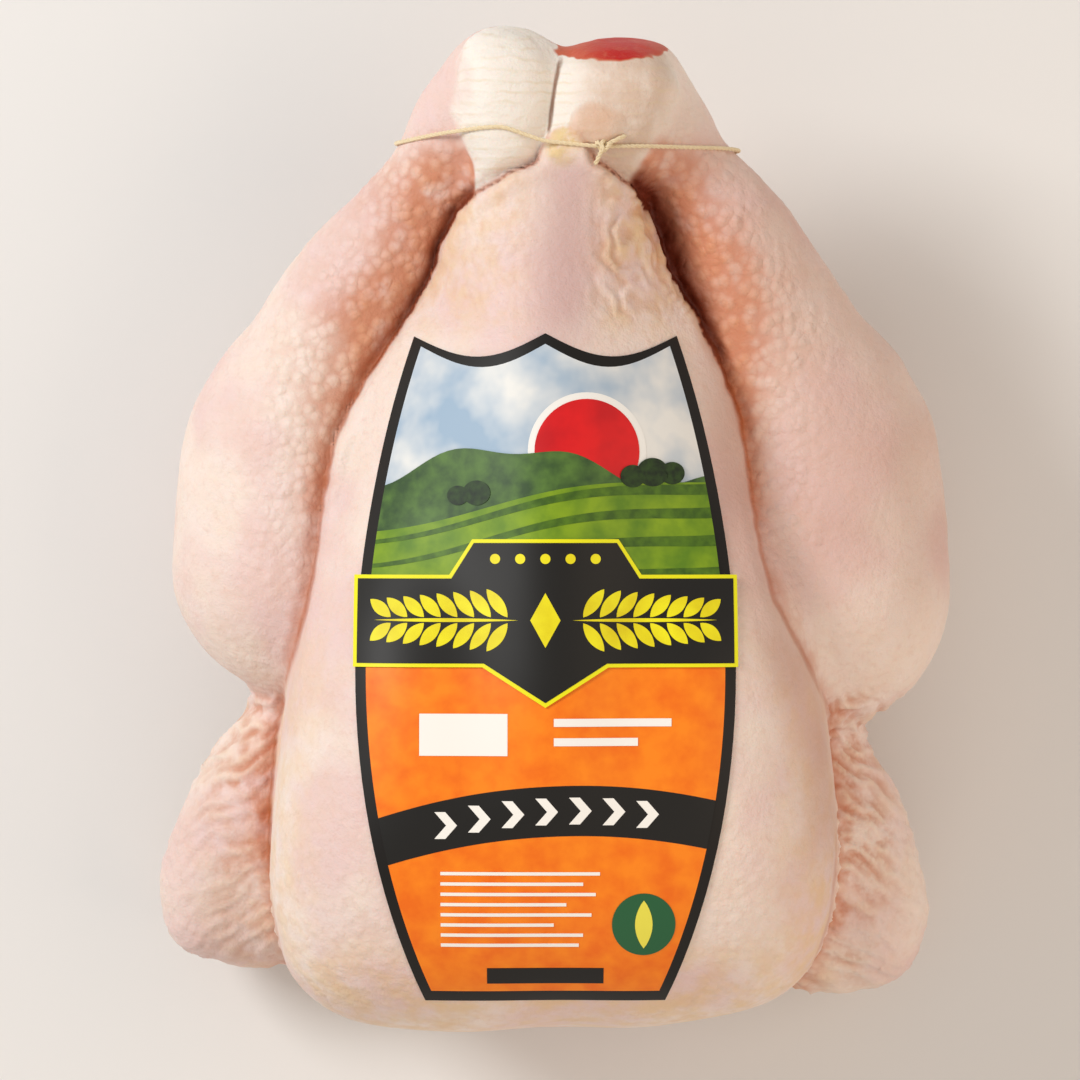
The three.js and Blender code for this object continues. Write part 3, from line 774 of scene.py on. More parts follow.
@dataclass
class Bird:
    """The bird's skin, sculpted from a copy of the CAD solid."""

    rough_voxel: float = 1.7
    fine_voxel: float = 1.0
    triangles: int = 195_000
    shank_squareness: float = 0.92
    tongue_lift: float = 1.0
    tongue_depth: float = 4.0
    swell: float = 0.45
    follicle_gap: float = 2.8
    follicle_height: float = 0.4
    table_gap: float = 0.05
    seed: int = 7

    def build(self, finish: RawSkin) -> bpy.types.Object:
        """Makes the dressed bird.

        Args:
            finish: the skin's finish.

        Returns:
            The skin, which replaces the CAD solid.
        """
        bird = self.copy_of_solid()
        self.add_firm_forms(bird)
        self.lighten_underside(bird)
        self.sculpt(bird)
        give_material(bird, finish.build())
        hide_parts("chicken")
        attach(bird, "root")
        return bird

    def copy_of_solid(self) -> bpy.types.Object:
        """Copies the CAD solid, merges its triangles and smooths its facets away.

        Returns:
            The copy.
        """
        select_only(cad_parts["chicken"])
        bpy.ops.object.duplicate()
        bird = bpy.context.active_object
        bird.parent = None
        bird.name = "bird_skin"
        for key in list(bird.keys()):
            del bird[key]
        bpy.ops.object.mode_set(mode="EDIT")
        bpy.ops.mesh.select_all(action="SELECT")
        bpy.ops.mesh.remove_doubles(threshold=0.01 * MM)
        bpy.ops.object.mode_set(mode="OBJECT")
        apply_modifier(bird, "REMESH", mode="VOXEL", voxel_size=self.rough_voxel * MM)
        apply_modifier(bird, "SMOOTH", factor=0.5, iterations=10)
        return bird

    def add_firm_forms(self, bird: bpy.types.Object) -> None:
        """Joins on what stands proud with a firm edge: the shanks, the belly's tongue and its fat.

        Args:
            bird: the smoothed copy of the solid.
        """
        select_only(bird, self.loft("left_shank", LEFT_SHANK), self.loft("right_shank", RIGHT_SHANK))
        bpy.ops.object.join()
        under = BVHTree.FromObject(bird, bpy.context.evaluated_depsgraph_get())

        def tongue_top(x: float, y: float) -> float:
            """The tongue's height: below the skin at its root and above it from the hocks on."""
            return height_of(under, x, y) + self.tongue_lift * min(1, max(-1, (y - 64) / 9))

        tongue = draped_sheet("tongue", [TONGUE_EDGE], 2.0, tongue_top, self.tongue_depth)
        select_only(bird, tongue, self.bead(*FAT_TIP), self.bead(*FAT_LOBE))
        bpy.ops.object.join()
        apply_modifier(bird, "REMESH", mode="VOXEL", voxel_size=self.fine_voxel * MM)
        apply_modifier(bird, "SMOOTH", factor=0.5, iterations=5)

    def loft(self, name: str, stations: Sequence, rings: int = 20, sides: int = 36) -> bpy.types.Object:
        """Makes a closed form with rounded-square sections.

        Args:
            name: the form's name.
            stations: rows of y, middle x, top z, half width and half depth.
            rings: how many sections it has.
            sides: how many points a section has.

        Returns:
            The form.
        """
        rows = np.array(stations, float)
        steps = np.linspace(0, len(rows) - 1, rings)
        y, middle, top, wide, deep = (np.interp(steps, range(len(rows)), column) for column in rows.T)
        points, faces = [], []
        for i in range(rings):
            for j in range(sides):
                c, s = math.cos(2 * math.pi * j / sides), math.sin(2 * math.pi * j / sides)
                across = math.copysign(abs(c) ** self.shank_squareness, c) * wide[i]
                rise = math.copysign(abs(s) ** self.shank_squareness, s) * deep[i]
                points.append((middle[i] + across, y[i], top[i] - deep[i] + rise))
        for i in range(rings - 1):
            for j in range(sides):
                k = (j + 1) % sides
                faces.append((i * sides + j, i * sides + k, (i + 1) * sides + k, (i + 1) * sides + j))
        faces.append(tuple(reversed(range(sides))))
        faces.append(tuple((rings - 1) * sides + j for j in range(sides)))
        form = mesh_object(name, points, faces)
        make_outward(form)
        return form

    @staticmethod
    def bead(place: Sequence[float], radii: Sequence[float]) -> bpy.types.Object:
        """Makes one small lump of fat.

        Args:
            place: its middle.
            radii: its radii along x, y and z.

        Returns:
            The lump.
        """
        bpy.ops.object.select_all(action="DESELECT")
        bpy.ops.mesh.primitive_uv_sphere_add(segments=24, ring_count=14, radius=1)
        bead = bpy.context.active_object
        bead.location = Vector(place) * MM
        bead.scale = Vector(radii) * MM
        place_in_mesh(bead)
        return bead

    def lighten_underside(self, bird: bpy.types.Object) -> None:
        """Takes triangles off the half that faces the table, until the whole is within its count.

        Args:
            bird: the skin.
        """
        mesh = bird.data
        mesh.calc_loop_triangles()
        count = len(mesh.loop_triangles)
        LOG.info("skin before it is lightened: %d triangles", count)
        group = bird.vertex_groups.new(name="under")
        for vertex in mesh.vertices:
            weight = 1.0 if vertex.normal.z < -0.1 else 0.15 if vertex.normal.z < 0.2 else 0.0
            if weight:
                group.add([vertex.index], weight, "REPLACE")
        if count > self.triangles:
            apply_modifier(
                bird, "DECIMATE", ratio=self.triangles / count, vertex_group="under",
                vertex_group_factor=10.0,
            )
        bird.vertex_groups.clear()

    def sculpt(self, bird: bpy.types.Object) -> None:
        """Cuts the creases, raises the follicles and folds, and paints the skin's fields.

        Args:
            bird: the skin.
        """
        mesh = bird.data
        skin = SkinMap(read_points(mesh, "co") / MM, read_points(mesh, "normal"))
        place = skin.place + skin.normal * self.swell
        place[:, 2] += self.crease_profile(skin) * skin.facing
        fold = self.wing_folds(skin) * skin.wing
        slack = self.belly_folds(skin) * skin.trunk * smoothstep(45, 60, skin.y)
        follicles = self.follicles(place) * (self.follicle_field(skin) - 0.12 * skin.trunk)
        lumps = (0.5 * skin.small + 0.8 * skin.tiny) * bell(np.hypot(skin.x - 3, skin.y - 94), 5.5)
        rings = np.sin(2 * math.pi * (skin.y / 3.4 + 1.6 * skin.middling + 0.8 * skin.small))
        relief = follicles * self.follicle_height + fold + 0.4 * slack + lumps * skin.facing
        relief += (0.06 * rings + 0.25 * skin.middling) * skin.bare
        relief += 0.55 * skin.middling * (skin.leg + skin.wing) + 0.12 * skin.small * skin.limb
        place += skin.normal * (relief * (1 - skin.label))[:, None]
        place[:, 2] = np.maximum(place[:, 2], self.table_gap)
        mesh.vertices.foreach_set("co", (place * MM).ravel())
        mesh.update()
        self.paint(mesh, skin, fold, slack)
        mesh.polygons.foreach_set("use_smooth", np.ones(len(mesh.polygons), dtype=bool))

    def paint(self, mesh: bpy.types.Mesh, skin: SkinMap, fold: np.ndarray, slack: np.ndarray) -> None:
        """Stores the fields that the skin's material reads on the mesh's points.

        Args:
            mesh: the skin's mesh.
            skin: its points before they were moved.
            fold: the wings' folds.
            slack: the belly's folds.
        """
        x, y = skin.x, skin.y
        skirt = smoothstep(0.02, 0.4, skin.normal[:, 2]) * smoothstep(-122, -104, y)
        off_tip = 1 - 0.9 * bell(np.hypot(x - 3, y - 98), 6.5)
        covered = skin.facing * (1 - skin.bare)
        breast_pebbles = skin.trunk * (0.2 + 0.3 * smoothstep(-60, -95, y))
        fold_reach = smoothstep(-26, -6, skin.edge) * smoothstep(22, 48, skin.z)
        keel = bell(x - 2 - 0.06 * (y - 40), 8.5) * smoothstep(34, 56, y) * smoothstep(96, 86, y)
        tip = 1.4 * bell(x - 2.9, 4.0) * bell(y - 94.4, 4.4) * skin.facing * (1 + 0.7 * skin.small)
        lobe = bell(x - 10.4, 7.0) * bell(y - 98.8, 5.0) * (1 + 0.9 * skin.small)
        fields = {
            Painted.EDGE: np.clip(skin.edge, -30, 30),
            # where painted shade goes in the crease round the breast; the tuck's relief reads it too
            Painted.CREASE: skin.facing * skirt * (1 - skin.between) * off_tip,
            # where warm painted shade lies beside the breast's edge
            Painted.WARM: self.shade_beside_breast(skin) * skin.limb * covered,
            # where painted shadow lies in the hollows beside the tongue
            Painted.HOLLOW: self.hollow(skin) * covered,
            Painted.SHANK: np.clip(skin.shank + 0.4 * skin.small + 0.3 * skin.middling, -10, 10),
            Painted.RUDDY: smoothstep(2, 14, x) * skin.bare,
            # where painted shade goes in the cleft between the shanks
            Painted.BETWEEN: skin.between,
            Painted.PIMPLE: (self.follicle_field(skin) + breast_pebbles) * (1 - skin.label),
            # where painted shade goes in the folds' valleys
            Painted.VALLEY: np.clip(-fold * 1.6, 0, 1) * fold_reach + 0.4 * np.clip(-slack, 0, 1),
            Painted.KEEL: 0.85 * keel * skin.trunk,
            Painted.FAT: self.fatness(skin),
            Painted.TIP: np.clip(tip, 0, 1) * skin.trunk,
            # where painted shade darkens the right side
            Painted.FLUSH: self.flush(skin),
            Painted.LOBE: lobe * smoothstep(98.6, 100.4, skin.z),
            Painted.CUT: self.cut_field(skin) + 1.3 * skin.small + 1.1 * skin.tiny,
            Painted.RAW: bell(x - 17, 11.0),
        }
        for painted, values in fields.items():
            layer = mesh.attributes.new(painted.value, "FLOAT", "POINT")
            layer.data.foreach_set("value", values.astype(np.float32))

    @staticmethod
    def crease_profile(skin: SkinMap) -> np.ndarray:
        """Cuts the crease round the breast: steep under the breast, easy on the limb.

        Args:
            skin: the skin's points.

        Returns:
            The height to add at each point.
        """
        edge, y = skin.edge, skin.y
        short_of_tip = smoothstep(99, 86, y)
        depth = (1.8 + 1.8 * smoothstep(10, 60, y)) * smoothstep(-124, -108, y) * short_of_tip
        groove = np.where(edge < 0, bell(edge, 2.4), bell(edge, 0.9))
        tuck = np.where(edge < 0, bell(edge, 8), 0)
        lip = 0.7 * bell(edge - 2.8, 2.0)
        return lip * short_of_tip - depth * (groove + 0.32 * tuck)

    def follicles(self, place: np.ndarray) -> np.ndarray:
        """Scatters the small bumps that the plucked feathers left.

        Args:
            place: the skin's points.

        Returns:
            The bump at each point, from 0 to 1 high.
        """
        rng = np.random.default_rng(self.seed)
        gap = self.follicle_gap
        taken: dict[tuple[int, int, int], list[np.ndarray]] = {}
        seeds = []
        for i in rng.permutation(len(place)):
            point = place[i]
            if point[2] < FOLLICLES_ABOVE:
                continue
            cell = tuple((point // gap).astype(int))
            near = (
                other
                for dx in (-1, 0, 1) for dy in (-1, 0, 1) for dz in (-1, 0, 1)
                for other in taken.get((cell[0] + dx, cell[1] + dy, cell[2] + dz), ())
            )
            if any(((point - other) ** 2).sum() < gap * gap for other in near):
                continue
            taken.setdefault(cell, []).append(point)
            seeds.append(point)
        tree = KDTree(len(seeds))
        for i, point in enumerate(seeds):
            tree.insert(point, i)
        tree.balance()
        found = [tree.find(point) for point in place]
        distance = np.array([f[2] for f in found])
        strength = rng.uniform(0.35, 1.0, len(seeds))[[f[1] for f in found]]
        return strength * bell(distance, 0.42 * gap)

    @staticmethod
    def follicle_field(skin: SkinMap) -> np.ndarray:
        """Says how strong the follicles are: most on the inner upper legs, faint on the knees.

        Args:
            skin: the skin's points.

        Returns:
            A share at each point.
        """
        widest = -22 - 22 * smoothstep(10, 60, skin.y)
        inner = smoothstep(widest, -8, skin.edge) * smoothstep(-24, 24, skin.y)
        inner += 0.25 * smoothstep(-32, -4, skin.edge)
        return skin.leg * np.clip(0.15 + inner, 0, 1) + 0.4 * skin.wing

    @staticmethod
    def wing_folds(skin: SkinMap) -> np.ndarray:
        """Draws slanting folds of loose skin, strongest beside the breast.

        Args:
            skin: the skin's points.

        Returns:
            The folds' height.
        """
        outward = np.abs(skin.x)
        slant = (skin.y + 0.5 * outward) / 5.0 + 1.0 * skin.middling + 0.35 * skin.small
        finer = (skin.y + 0.75 * outward) / 3.3 + 1.9 * skin.middling
        coarse = 1 - 2.1 * np.abs(np.sin(math.pi * slant)) ** 0.8
        fine = 1 - 2 * np.abs(np.sin(math.pi * finer))
        amount = smoothstep(-40, -12, skin.edge) * np.clip(0.85 + 0.6 * skin.large, 0.3, 1.2)
        return (0.45 * coarse + 0.25 * fine) * amount

    @staticmethod
    def belly_folds(skin: SkinMap) -> np.ndarray:
        """Draws fine slack folds on each side of the keel, more on the right.

        Args:
            skin: the skin's points.

        Returns:
            The folds, from -1 to 1.
        """
        across = (skin.x - 0.35 * (90 - skin.y)) / 4.2
        lines = np.sin(2 * math.pi * (across + 2.2 * skin.middling + 0.9 * skin.small))
        sided = np.where(skin.x > 3, 1.0, 0.4) * np.clip(np.abs(skin.x - 3) / 9 - 0.3, 0, 1)
        return lines * sided * np.clip(0.8 + 1.2 * skin.large, 0.2, 1.2)

    @staticmethod
    def shade_beside_breast(skin: SkinMap) -> np.ndarray:
        """Says where warm painted shade lies beside the breast's edge, on the legs and the wings,
        strongest at the crease.

        Args:
            skin: the skin's points.

        Returns:
            A share at each point.
        """
        edge, y = skin.edge, skin.y
        reach = 4.8 + 8.0 * smoothstep(-10, 75, y)
        leg = bell(edge, reach) + 0.28 * bell(edge, 2.3 * reach) * smoothstep(10, 60, y)
        leg = leg * (0.35 + 0.65 * smoothstep(-10, 60, y)) * smoothstep(104, 88, y)
        wing = (0.42 + 0.25 * skin.small) * bell(edge, 8) * smoothstep(-40, -62, y)
        return np.clip(np.maximum(leg, wing) * (1 + 0.5 * skin.middling), 0, 1)

    @staticmethod
    def flush(skin: SkinMap) -> np.ndarray:
        """Says where painted shade lies on the right, away from the key light: the right leg and the
        breast's right edge are pinker and darker.

        Args:
            skin: the skin's points.

        Returns:
            A share at each point.
        """
        along = smoothstep(-100, -60, skin.y) * smoothstep(60, 20, skin.y)
        breast = 0.7 * skin.trunk * smoothstep(15, 3, skin.edge) * along
        thigh = 0.42 * skin.leg * smoothstep(-34, 4, skin.y)
        return (breast + thigh) * smoothstep(10, 40, skin.x) * (1 + 0.4 * skin.middling)

    @staticmethod
    def hollow(skin: SkinMap) -> np.ndarray:
        """Finds the deep hollows beside the belly's tongue and the painted shadow in them, wider and
        darker on the right.

        Args:
            skin: the skin's points.

        Returns:
            A share at each point.
        """
        edge, y = skin.edge, skin.y
        right = skin.x > 0
        reach = 0.8 + np.where(right, 6.4 * smoothstep(26, 70, y), 1.9 * smoothstep(40, 72, y))
        depth = np.where(edge < 0.4, bell(edge, reach), 0)
        return depth * smoothstep(8, 66, y) * smoothstep(97, 88, y) * np.where(right, 1.0, 0.75)

    @staticmethod
    def fatness(skin: SkinMap) -> np.ndarray:
        """Says how much fat shows: the belly's sides, the breast's low edges, a little on the wings.

        Args:
            skin: the skin's points.

        Returns:
            A share at each point.
        """
        x, y, edge = skin.x, skin.y, skin.edge
        belly = skin.trunk * smoothstep(40, 60, y) * smoothstep(4, 14, np.abs(x - 2))
        low = skin.trunk * smoothstep(20, 2, edge) * smoothstep(-10, -50, y) * np.where(x > 0, 1.0, 0.6)
        low = np.maximum(low, 0.9 * skin.trunk * smoothstep(-92, -112, y))
        wing = skin.wing * smoothstep(-26, -8, edge)
        return np.clip(np.where(x > 3, 0.85, 0.6) * belly + 0.8 * low + 0.3 * wing + 0.12, 0, 1)

    @staticmethod
    def cut_field(skin: SkinMap) -> np.ndarray:
        """Finds the raw face where the right shank was cut off.

        Args:
            skin: the skin's points.

        Returns:
            How far inside the face each point lies, in millimetres.
        """
        ahead = skin.y + 0.27 * (skin.z - 99) - 113.6
        inside = np.minimum(ahead * 2.5, 6 * (skin.normal[:, 1] - 0.3) / 0.4)
        return np.clip(np.minimum(inside, skin.x - 1.0), -5, 5)


@dataclass
class Label:
    """The printed label: coated paper with a plain country design in fields of ink.

    Places on it are (u, v): u across from its middle and v up from its foot.
    """

    length: float = 161.0
    foot_half: float = 29.0
    swell_half: float = 60.5
    top_half: float = 32.0
    swell_height: float = 0.46
    scallop: float = 5.5
    border: float = 2.6
    lift: float = 0.45
    paper: float = 0.3
    ink: float = 0.07
    cell: float = 2.0
    grid: float = 2.0
    map_margin: float = 10.0
    map_half: float = 56.0
    map_passes: int = 6
    foot: float = field(init=False)
    middle: float = field(init=False)
    us: np.ndarray = field(init=False)
    vs: np.ndarray = field(init=False)
    heights: np.ndarray = field(init=False)

    def __post_init__(self) -> None:
        """Finds the label's place on the bird from its CAD solid, and the points of its map."""
        low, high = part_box("label")
        self.foot = low.y / MM
        self.middle = (low.x + high.x) / 2 / MM
        self.us = np.arange(-self.map_half, self.map_half + self.grid, self.grid)
        self.vs = np.arange(self.grid - self.map_margin, self.length + self.map_margin, self.grid)

    def build(self, bird: bpy.types.Object) -> list[bpy.types.Object]:
        """Makes the paper and its printed fields, draped over the bird.

        Args:
            bird: the dressed bird.

        Returns:
            The label's pieces.
        """
        self.map_skin(bird)
        black = PrintedFilm("black_ink_on_paper", "#17130f")
        paper = self.sheet("label_paper", [self.outline(0)], InkLayer.PAPER, black)
        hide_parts("label")
        pieces = [paper, *self.print_scenery(), *self.print_panel()]
        for piece in pieces:
            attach(piece, "root")
        return pieces

    def map_skin(self, bird: bpy.types.Object) -> None:
        """Maps the skin's height under the label, evened out so that the paper lies smooth.

        Args:
            bird: the dressed bird.
        """
        skin = BVHTree.FromObject(bird, bpy.context.evaluated_depsgraph_get())
        even = np.array([
            [height_of(skin, u + self.middle, v + self.foot) for u in self.us] for v in self.vs
        ])
        for _ in range(self.map_passes):
            edge = np.pad(even, 1, mode="edge")
            even = (edge[:-2, 1:-1] + edge[2:, 1:-1] + edge[1:-1, :-2] + edge[1:-1, 2:] + 2 * even) / 6
        self.heights = even

    def height(self, u: float, v: float) -> float:
        """Reads the map between its points.

        Args:
            u: distance from the label's middle.
            v: distance from its foot.

        Returns:
            The evened height of the skin there.
        """
        i = min(max((v - self.vs[0]) / self.grid, 0), len(self.vs) - 1.001)
        j = min(max((u - self.us[0]) / self.grid, 0), len(self.us) - 1.001)
        i0, j0 = int(i), int(j)
        a, b = i - i0, j - j0
        h = self.heights
        low = h[i0, j0] * (1 - b) + h[i0, j0 + 1] * b
        high = h[i0 + 1, j0] * (1 - b) + h[i0 + 1, j0 + 1] * b
        return low * (1 - a) + high * a

    def half_width(self, v: float) -> float:
        """Follows the curve of the label's side.

        Args:
            v: distance from the label's foot.

        Returns:
            Half its width there.
        """
        rise = np.linspace(0, 1, 200)
        heights = (2 * rise * (1 - rise) * self.swell_height + rise ** 2) * self.length
        t = float(np.interp(v, heights, rise))
        return (1 - t) ** 2 * self.foot_half + 2 * t * (1 - t) * self.swell_half + t * t * self.top_half

    def top_at(self, u: float) -> float:
        """Height of the scalloped top edge at a distance u from the middle."""
        return self.length - math.sin(math.pi * min(abs(u) / self.top_half, 1)) * self.scallop

    def outline(self, inset: float, low: float = 0.0, high: float = 1e3) -> list[tuple[float, float]]:
        """Draws the label's outline.

        Args:
            inset: how far it is drawn in.
            low: where it is cut off below.
            high: where it is cut off above.

        Returns:
            The outline as (u, v).
        """
        bottom = max(inset, low)
        top = min(high, self.length - inset)
        right = [bottom + (top - bottom) * i / 30 for i in range(31)]
        points = [(self.half_width(v) - inset, v) for v in right]
        left = [(-u, v) for u, v in reversed(points)]
        if high > self.length:
            width = self.half_width(top) - inset
            arc = [width * (1 - 2 * i / 36) for i in range(1, 36)]
            points += [(u, self.top_at(u * self.top_half / width) - inset) for u in arc]
        return points + left

    def sheet(self, name: str, outlines: Sequence, layer: InkLayer, ink: PrintedFilm) -> bpy.types.Object:
        """Makes flat fields of one ink, draped on the bird.

        Args:
            name: the piece's name.
            outlines: closed outlines as (u, v).
            layer: where the field lies in the stack of inks.
            ink: the finish.

        Returns:
            The draped piece.
        """
        lift = self.lift + self.paper + layer * self.ink
        placed = [[(u + self.middle, v + self.foot) for u, v in outline] for outline in outlines]
        thickness = self.ink if layer else self.paper

        def top(x: float, y: float) -> float:
            """The sheet's top over the evened skin."""
            return self.height(x - self.middle, y - self.foot) + lift

        piece = draped_sheet(name, placed, self.cell, top, thickness)
        select_only(piece)
        bpy.ops.object.shade_smooth_by_angle(angle=math.radians(40))
        give_material(piece, ink.build())
        return piece

    def band(self, low: Callable[[float], float], high: Callable[[float], float]) -> list:
        """Draws a field across the label between two curves.

        Args:
            low: height of its lower edge at u.
            high: height of its upper edge at u.

        Returns:
            The outline as (u, v).
        """

        def ends(curve: Callable[[float], float]) -> tuple[float, float]:
            """Finds where a curve meets the border.

            Args:
                curve: its height at u.

            Returns:
                Its height at the left border and at the right one.
            """
            found = []
            for side in (-1, 1):
                v = curve(0)
                for _ in range(6):
                    v = curve(side * (self.half_width(v) - self.border))
                found.append(v)
            return found[0], found[1]

        def row(curve: Callable[[float], float]) -> list[tuple[float, float]]:
            """Follows a curve from the left border to the right.

            Args:
                curve: its height at u.

            Returns:
                Points along it as (u, v).
            """
            left, right = ends(curve)
            start = -(self.half_width(left) - self.border)
            stop = self.half_width(right) - self.border
            return [(u, curve(u)) for u in np.linspace(start, stop, 41)]

        def side_of(first: float, last: float, sign: int) -> list[tuple[float, float]]:
            """Points along the border between two heights."""
            between = np.linspace(first, last, 14)[1:-1]
            return [(sign * (self.half_width(v) - self.border), v) for v in between]

        low_row, high_row = row(low), row(high)
        right = side_of(low_row[-1][1], high_row[-1][1], 1)
        left = side_of(high_row[0][1], low_row[0][1], -1)
        return low_row + right + high_row[::-1] + left

    def print_scenery(self) -> list[bpy.types.Object]:
        """Prints the upper half: sky, rising sun, hills, striped fields and round trees.

        Returns:
            The printed fields.
        """

        def ridge(u: float) -> float:
            """The far hills' top."""
            return 129 + 4.5 * math.sin(u / 13 + 2.3) + 1.6 * math.sin(u / 5.0)

        def slope(u: float) -> float:
            """The near fields' top."""
            return 121 + 0.14 * u + 2.0 * math.sin(u / 14 + 1.0)

        stripes = []
        for k in range(4):
            drop = 5.2 * k + 0.5 * k * k
            stripes.append(self.band(
                lambda u, drop=drop: slope(u) - 3.0 - drop,
                lambda u, drop=drop: slope(u) - 1.2 - drop + 0.02 * u,
            ))
        crowns = (
            (-21, 122.0, 2.6), (-16.5, 122.6, 3.3), (21, 126.6, 3.0), (25.8, 127.6, 3.8), (30.6, 127.4, 3.0),
        )
        trees = [self.disc(u, v, r, r * 0.9) for u, v, r in crowns]
        fields = (
            ("label_sky", [self.outline(self.border, 90)], InkLayer.GROUND,
             PrintedFilm("sky_ink", "#9db4c9", "#eceae4", 15)),
            ("label_sun_rim", [self.disc(10, 132.5, 14.2, 14.2)], InkLayer.SUN_RIM,
             PrintedFilm("white_ink", "#f6f3ec")),
            ("label_sun", [self.disc(10, 132.5, 12.6, 12.6)], InkLayer.SUN,
             PrintedFilm("red_ink", "#e21a1c", "#c8141a", 9)),
            ("label_hills", [self.band(lambda u: 100, ridge)], InkLayer.HILLS,
             PrintedFilm("hill_ink", "#35502a", "#587a35", 5)),
            ("label_fields", [self.band(lambda u: 95, slope)], InkLayer.FIELDS,
             PrintedFilm("field_ink", "#86a51c", "#5d831a", 7)),
            ("label_stripes", stripes, InkLayer.STRIPES, PrintedFilm("stripe_ink", "#3c5c17", "#587c1b", 3)),
            ("label_trees", trees, InkLayer.TREES, PrintedFilm("tree_ink", "#14260f", "#2c4717", 2)),
        )
        return [self.sheet(*printed) for printed in fields]

    def print_panel(self) -> list[bpy.types.Object]:
        """Prints the lower half: orange ground, dark banner with grain ears, ribbon and marks.

        Returns:
            The printed fields.
        """
        dark = PrintedFilm("banner_ink", "#1c1a17")
        ribbon = self.band(lambda u: self.ribbon(u) - 6, lambda u: self.ribbon(u) + 6)
        fields = (
            ("label_orange", [self.outline(self.border, 0, 84)], InkLayer.GROUND,
             PrintedFilm("orange_ink", "#ff8a14", "#f4700a", 6)),
            ("label_banner_line", [self.banner(0.0)], InkLayer.BANNER_LINE,
             PrintedFilm("yellow_line_ink", "#f0ea14")),
            ("label_banner", [self.banner(0.9)], InkLayer.BANNER, dark),
            ("label_grain_ears", self.grain_ears(92.2), InkLayer.EARS,
             PrintedFilm("yellow_ink", "#f6ec1c", "#e2cf12", 8)),
            ("label_ribbon", [ribbon], InkLayer.RIBBON, dark),
            ("label_marks", self.marks(), InkLayer.MARKS, PrintedFilm("mark_ink", "#faf6ee")),
            ("label_leaf_disc", [self.disc(23.5, 19.5, 7.6, 7.6)], InkLayer.MARKS,
             PrintedFilm("leaf_green_ink", "#24603a")),
            ("label_leaf", [self.leaf(23.5, 13.6, 23.5, 25.4, 4.2)], InkLayer.LEAF,
             PrintedFilm("leaf_ink", "#eee452")),
            ("label_foot_bar", [self.bar(-14, 4.6, 28, 4.0)], InkLayer.RIBBON,
             PrintedFilm("bar_ink", "#181512")),
        )
        return [self.sheet(*printed) for printed in fields]

    @staticmethod
    def ribbon(u: float) -> float:
        """Height of the middle of the ribbon."""
        return 47 - 0.0035 * (u - 8) ** 2

    @staticmethod
    def disc(u: float, v: float, wide: float, high: float) -> list[tuple[float, float]]:
        """An oval's outline."""
        turns = [2 * math.pi * i / 64 for i in range(64)]
        return [(u + wide * math.cos(a), v + high * math.sin(a)) for a in turns]

    @staticmethod
    def bar(u: float, v: float, wide: float, high: float) -> list[tuple[float, float]]:
        """A rectangle's outline from its lower left corner."""
        return [(u, v), (u + wide, v), (u + wide, v + high), (u, v + high)]

    @staticmethod
    def leaf(u0: float, v0: float, u1: float, v1: float, wide: float) -> list[tuple[float, float]]:
        """Draws a pointed leaf's outline.

        Args:
            u0: the first tip, across.
            v0: the first tip, up.
            u1: the second tip, across.
            v1: the second tip, up.
            wide: its greatest width.

        Returns:
            The outline as (u, v).
        """
        side = Vector((v1 - v0, u0 - u1)).normalized()
        points = []
        for sign in (1, -1):
            for i in range(12):
                t = i / 12 if sign == 1 else 1 - i / 12
                bulge = sign * wide / 2 * math.sin(math.pi * t) ** 0.8
                points.append((u0 + (u1 - u0) * t + side.x * bulge, v0 + (v1 - v0) * t + side.y * bulge))
        return points

    def banner(self, inset: float) -> list[tuple[float, float]]:
        """Draws the dark banner, with a stepped crest above and a drop below.

        Args:
            inset: how far the outline is drawn in.

        Returns:
            The outline as (u, v).
        """
        reach = self.half_width(92) + 0.8 - inset
        crest = [(reach, 103), (23, 103), (17.5, 111.5), (-17.5, 111.5), (-23, 103), (-reach, 103)]
        drop = [(-reach, 81), (-15, 81), (0, 71.5), (15, 81), (reach, 81)]
        points = []
        for corners, rise in ((crest, -1), (drop, 1)):
            for u, v in corners:
                across = u if abs(u) == reach else u * (1 - inset / 40)
                points.append((across, v + rise * inset * (1.25 if u == 0 else 1)))
        return points

    def grain_ears(self, v: float) -> list:
        """Draws two ears of grain along the banner, a lozenge between them and dots above.

        Args:
            v: height of the ears' stems.

        Returns:
            The outlines as (u, v).
        """
        shapes = [[(-3.6, v), (0, v - 6.5), (3.6, v), (0, v + 6.5)]]
        for side in (-1, 1):
            for i in range(8):
                u = side * (9.0 + 4.0 * i)
                size = 7.4 - 0.35 * i
                for lean in (-1, 1):
                    shapes.append(self.leaf(u, v + lean * 0.7, u + side * 5.0, v + lean * size, 3.0))
            shapes.append(self.leaf(side * 6.5, v, side * 41.0, v, 0.9))
        for i in range(5):
            shapes.append(self.disc((i - 2) * 6.0, 106.8, 1.2, 1.2))
        return shapes

    def marks(self) -> list:
        """Draws pale blank shapes: a price panel, chevrons on the ribbon and short ruled lines.

        Returns:
            The outlines as (u, v).
        """
        shapes = [self.bar(-30, 60, 21, 10.0)]
        for i in range(7):
            u = -24 + 8.0 * i
            middle = self.ribbon(u)
            shapes.append([
                (u - 2.4, middle - 3.2), (u + 0.2, middle - 3.2), (u + 3.0, middle),
                (u + 0.2, middle + 3.2), (u - 2.4, middle + 3.2), (u + 0.4, middle),
            ])
        for i, length in enumerate((38, 34, 37, 30, 36, 27, 34, 33)):
            shapes.append(self.bar(-25, 31.5 - 2.5 * i, length, 0.8))
        for i, length in enumerate((28, 20)):
            shapes.append(self.bar(2, 67.0 - 4.6 * i, length, 1.9))
        return shapes


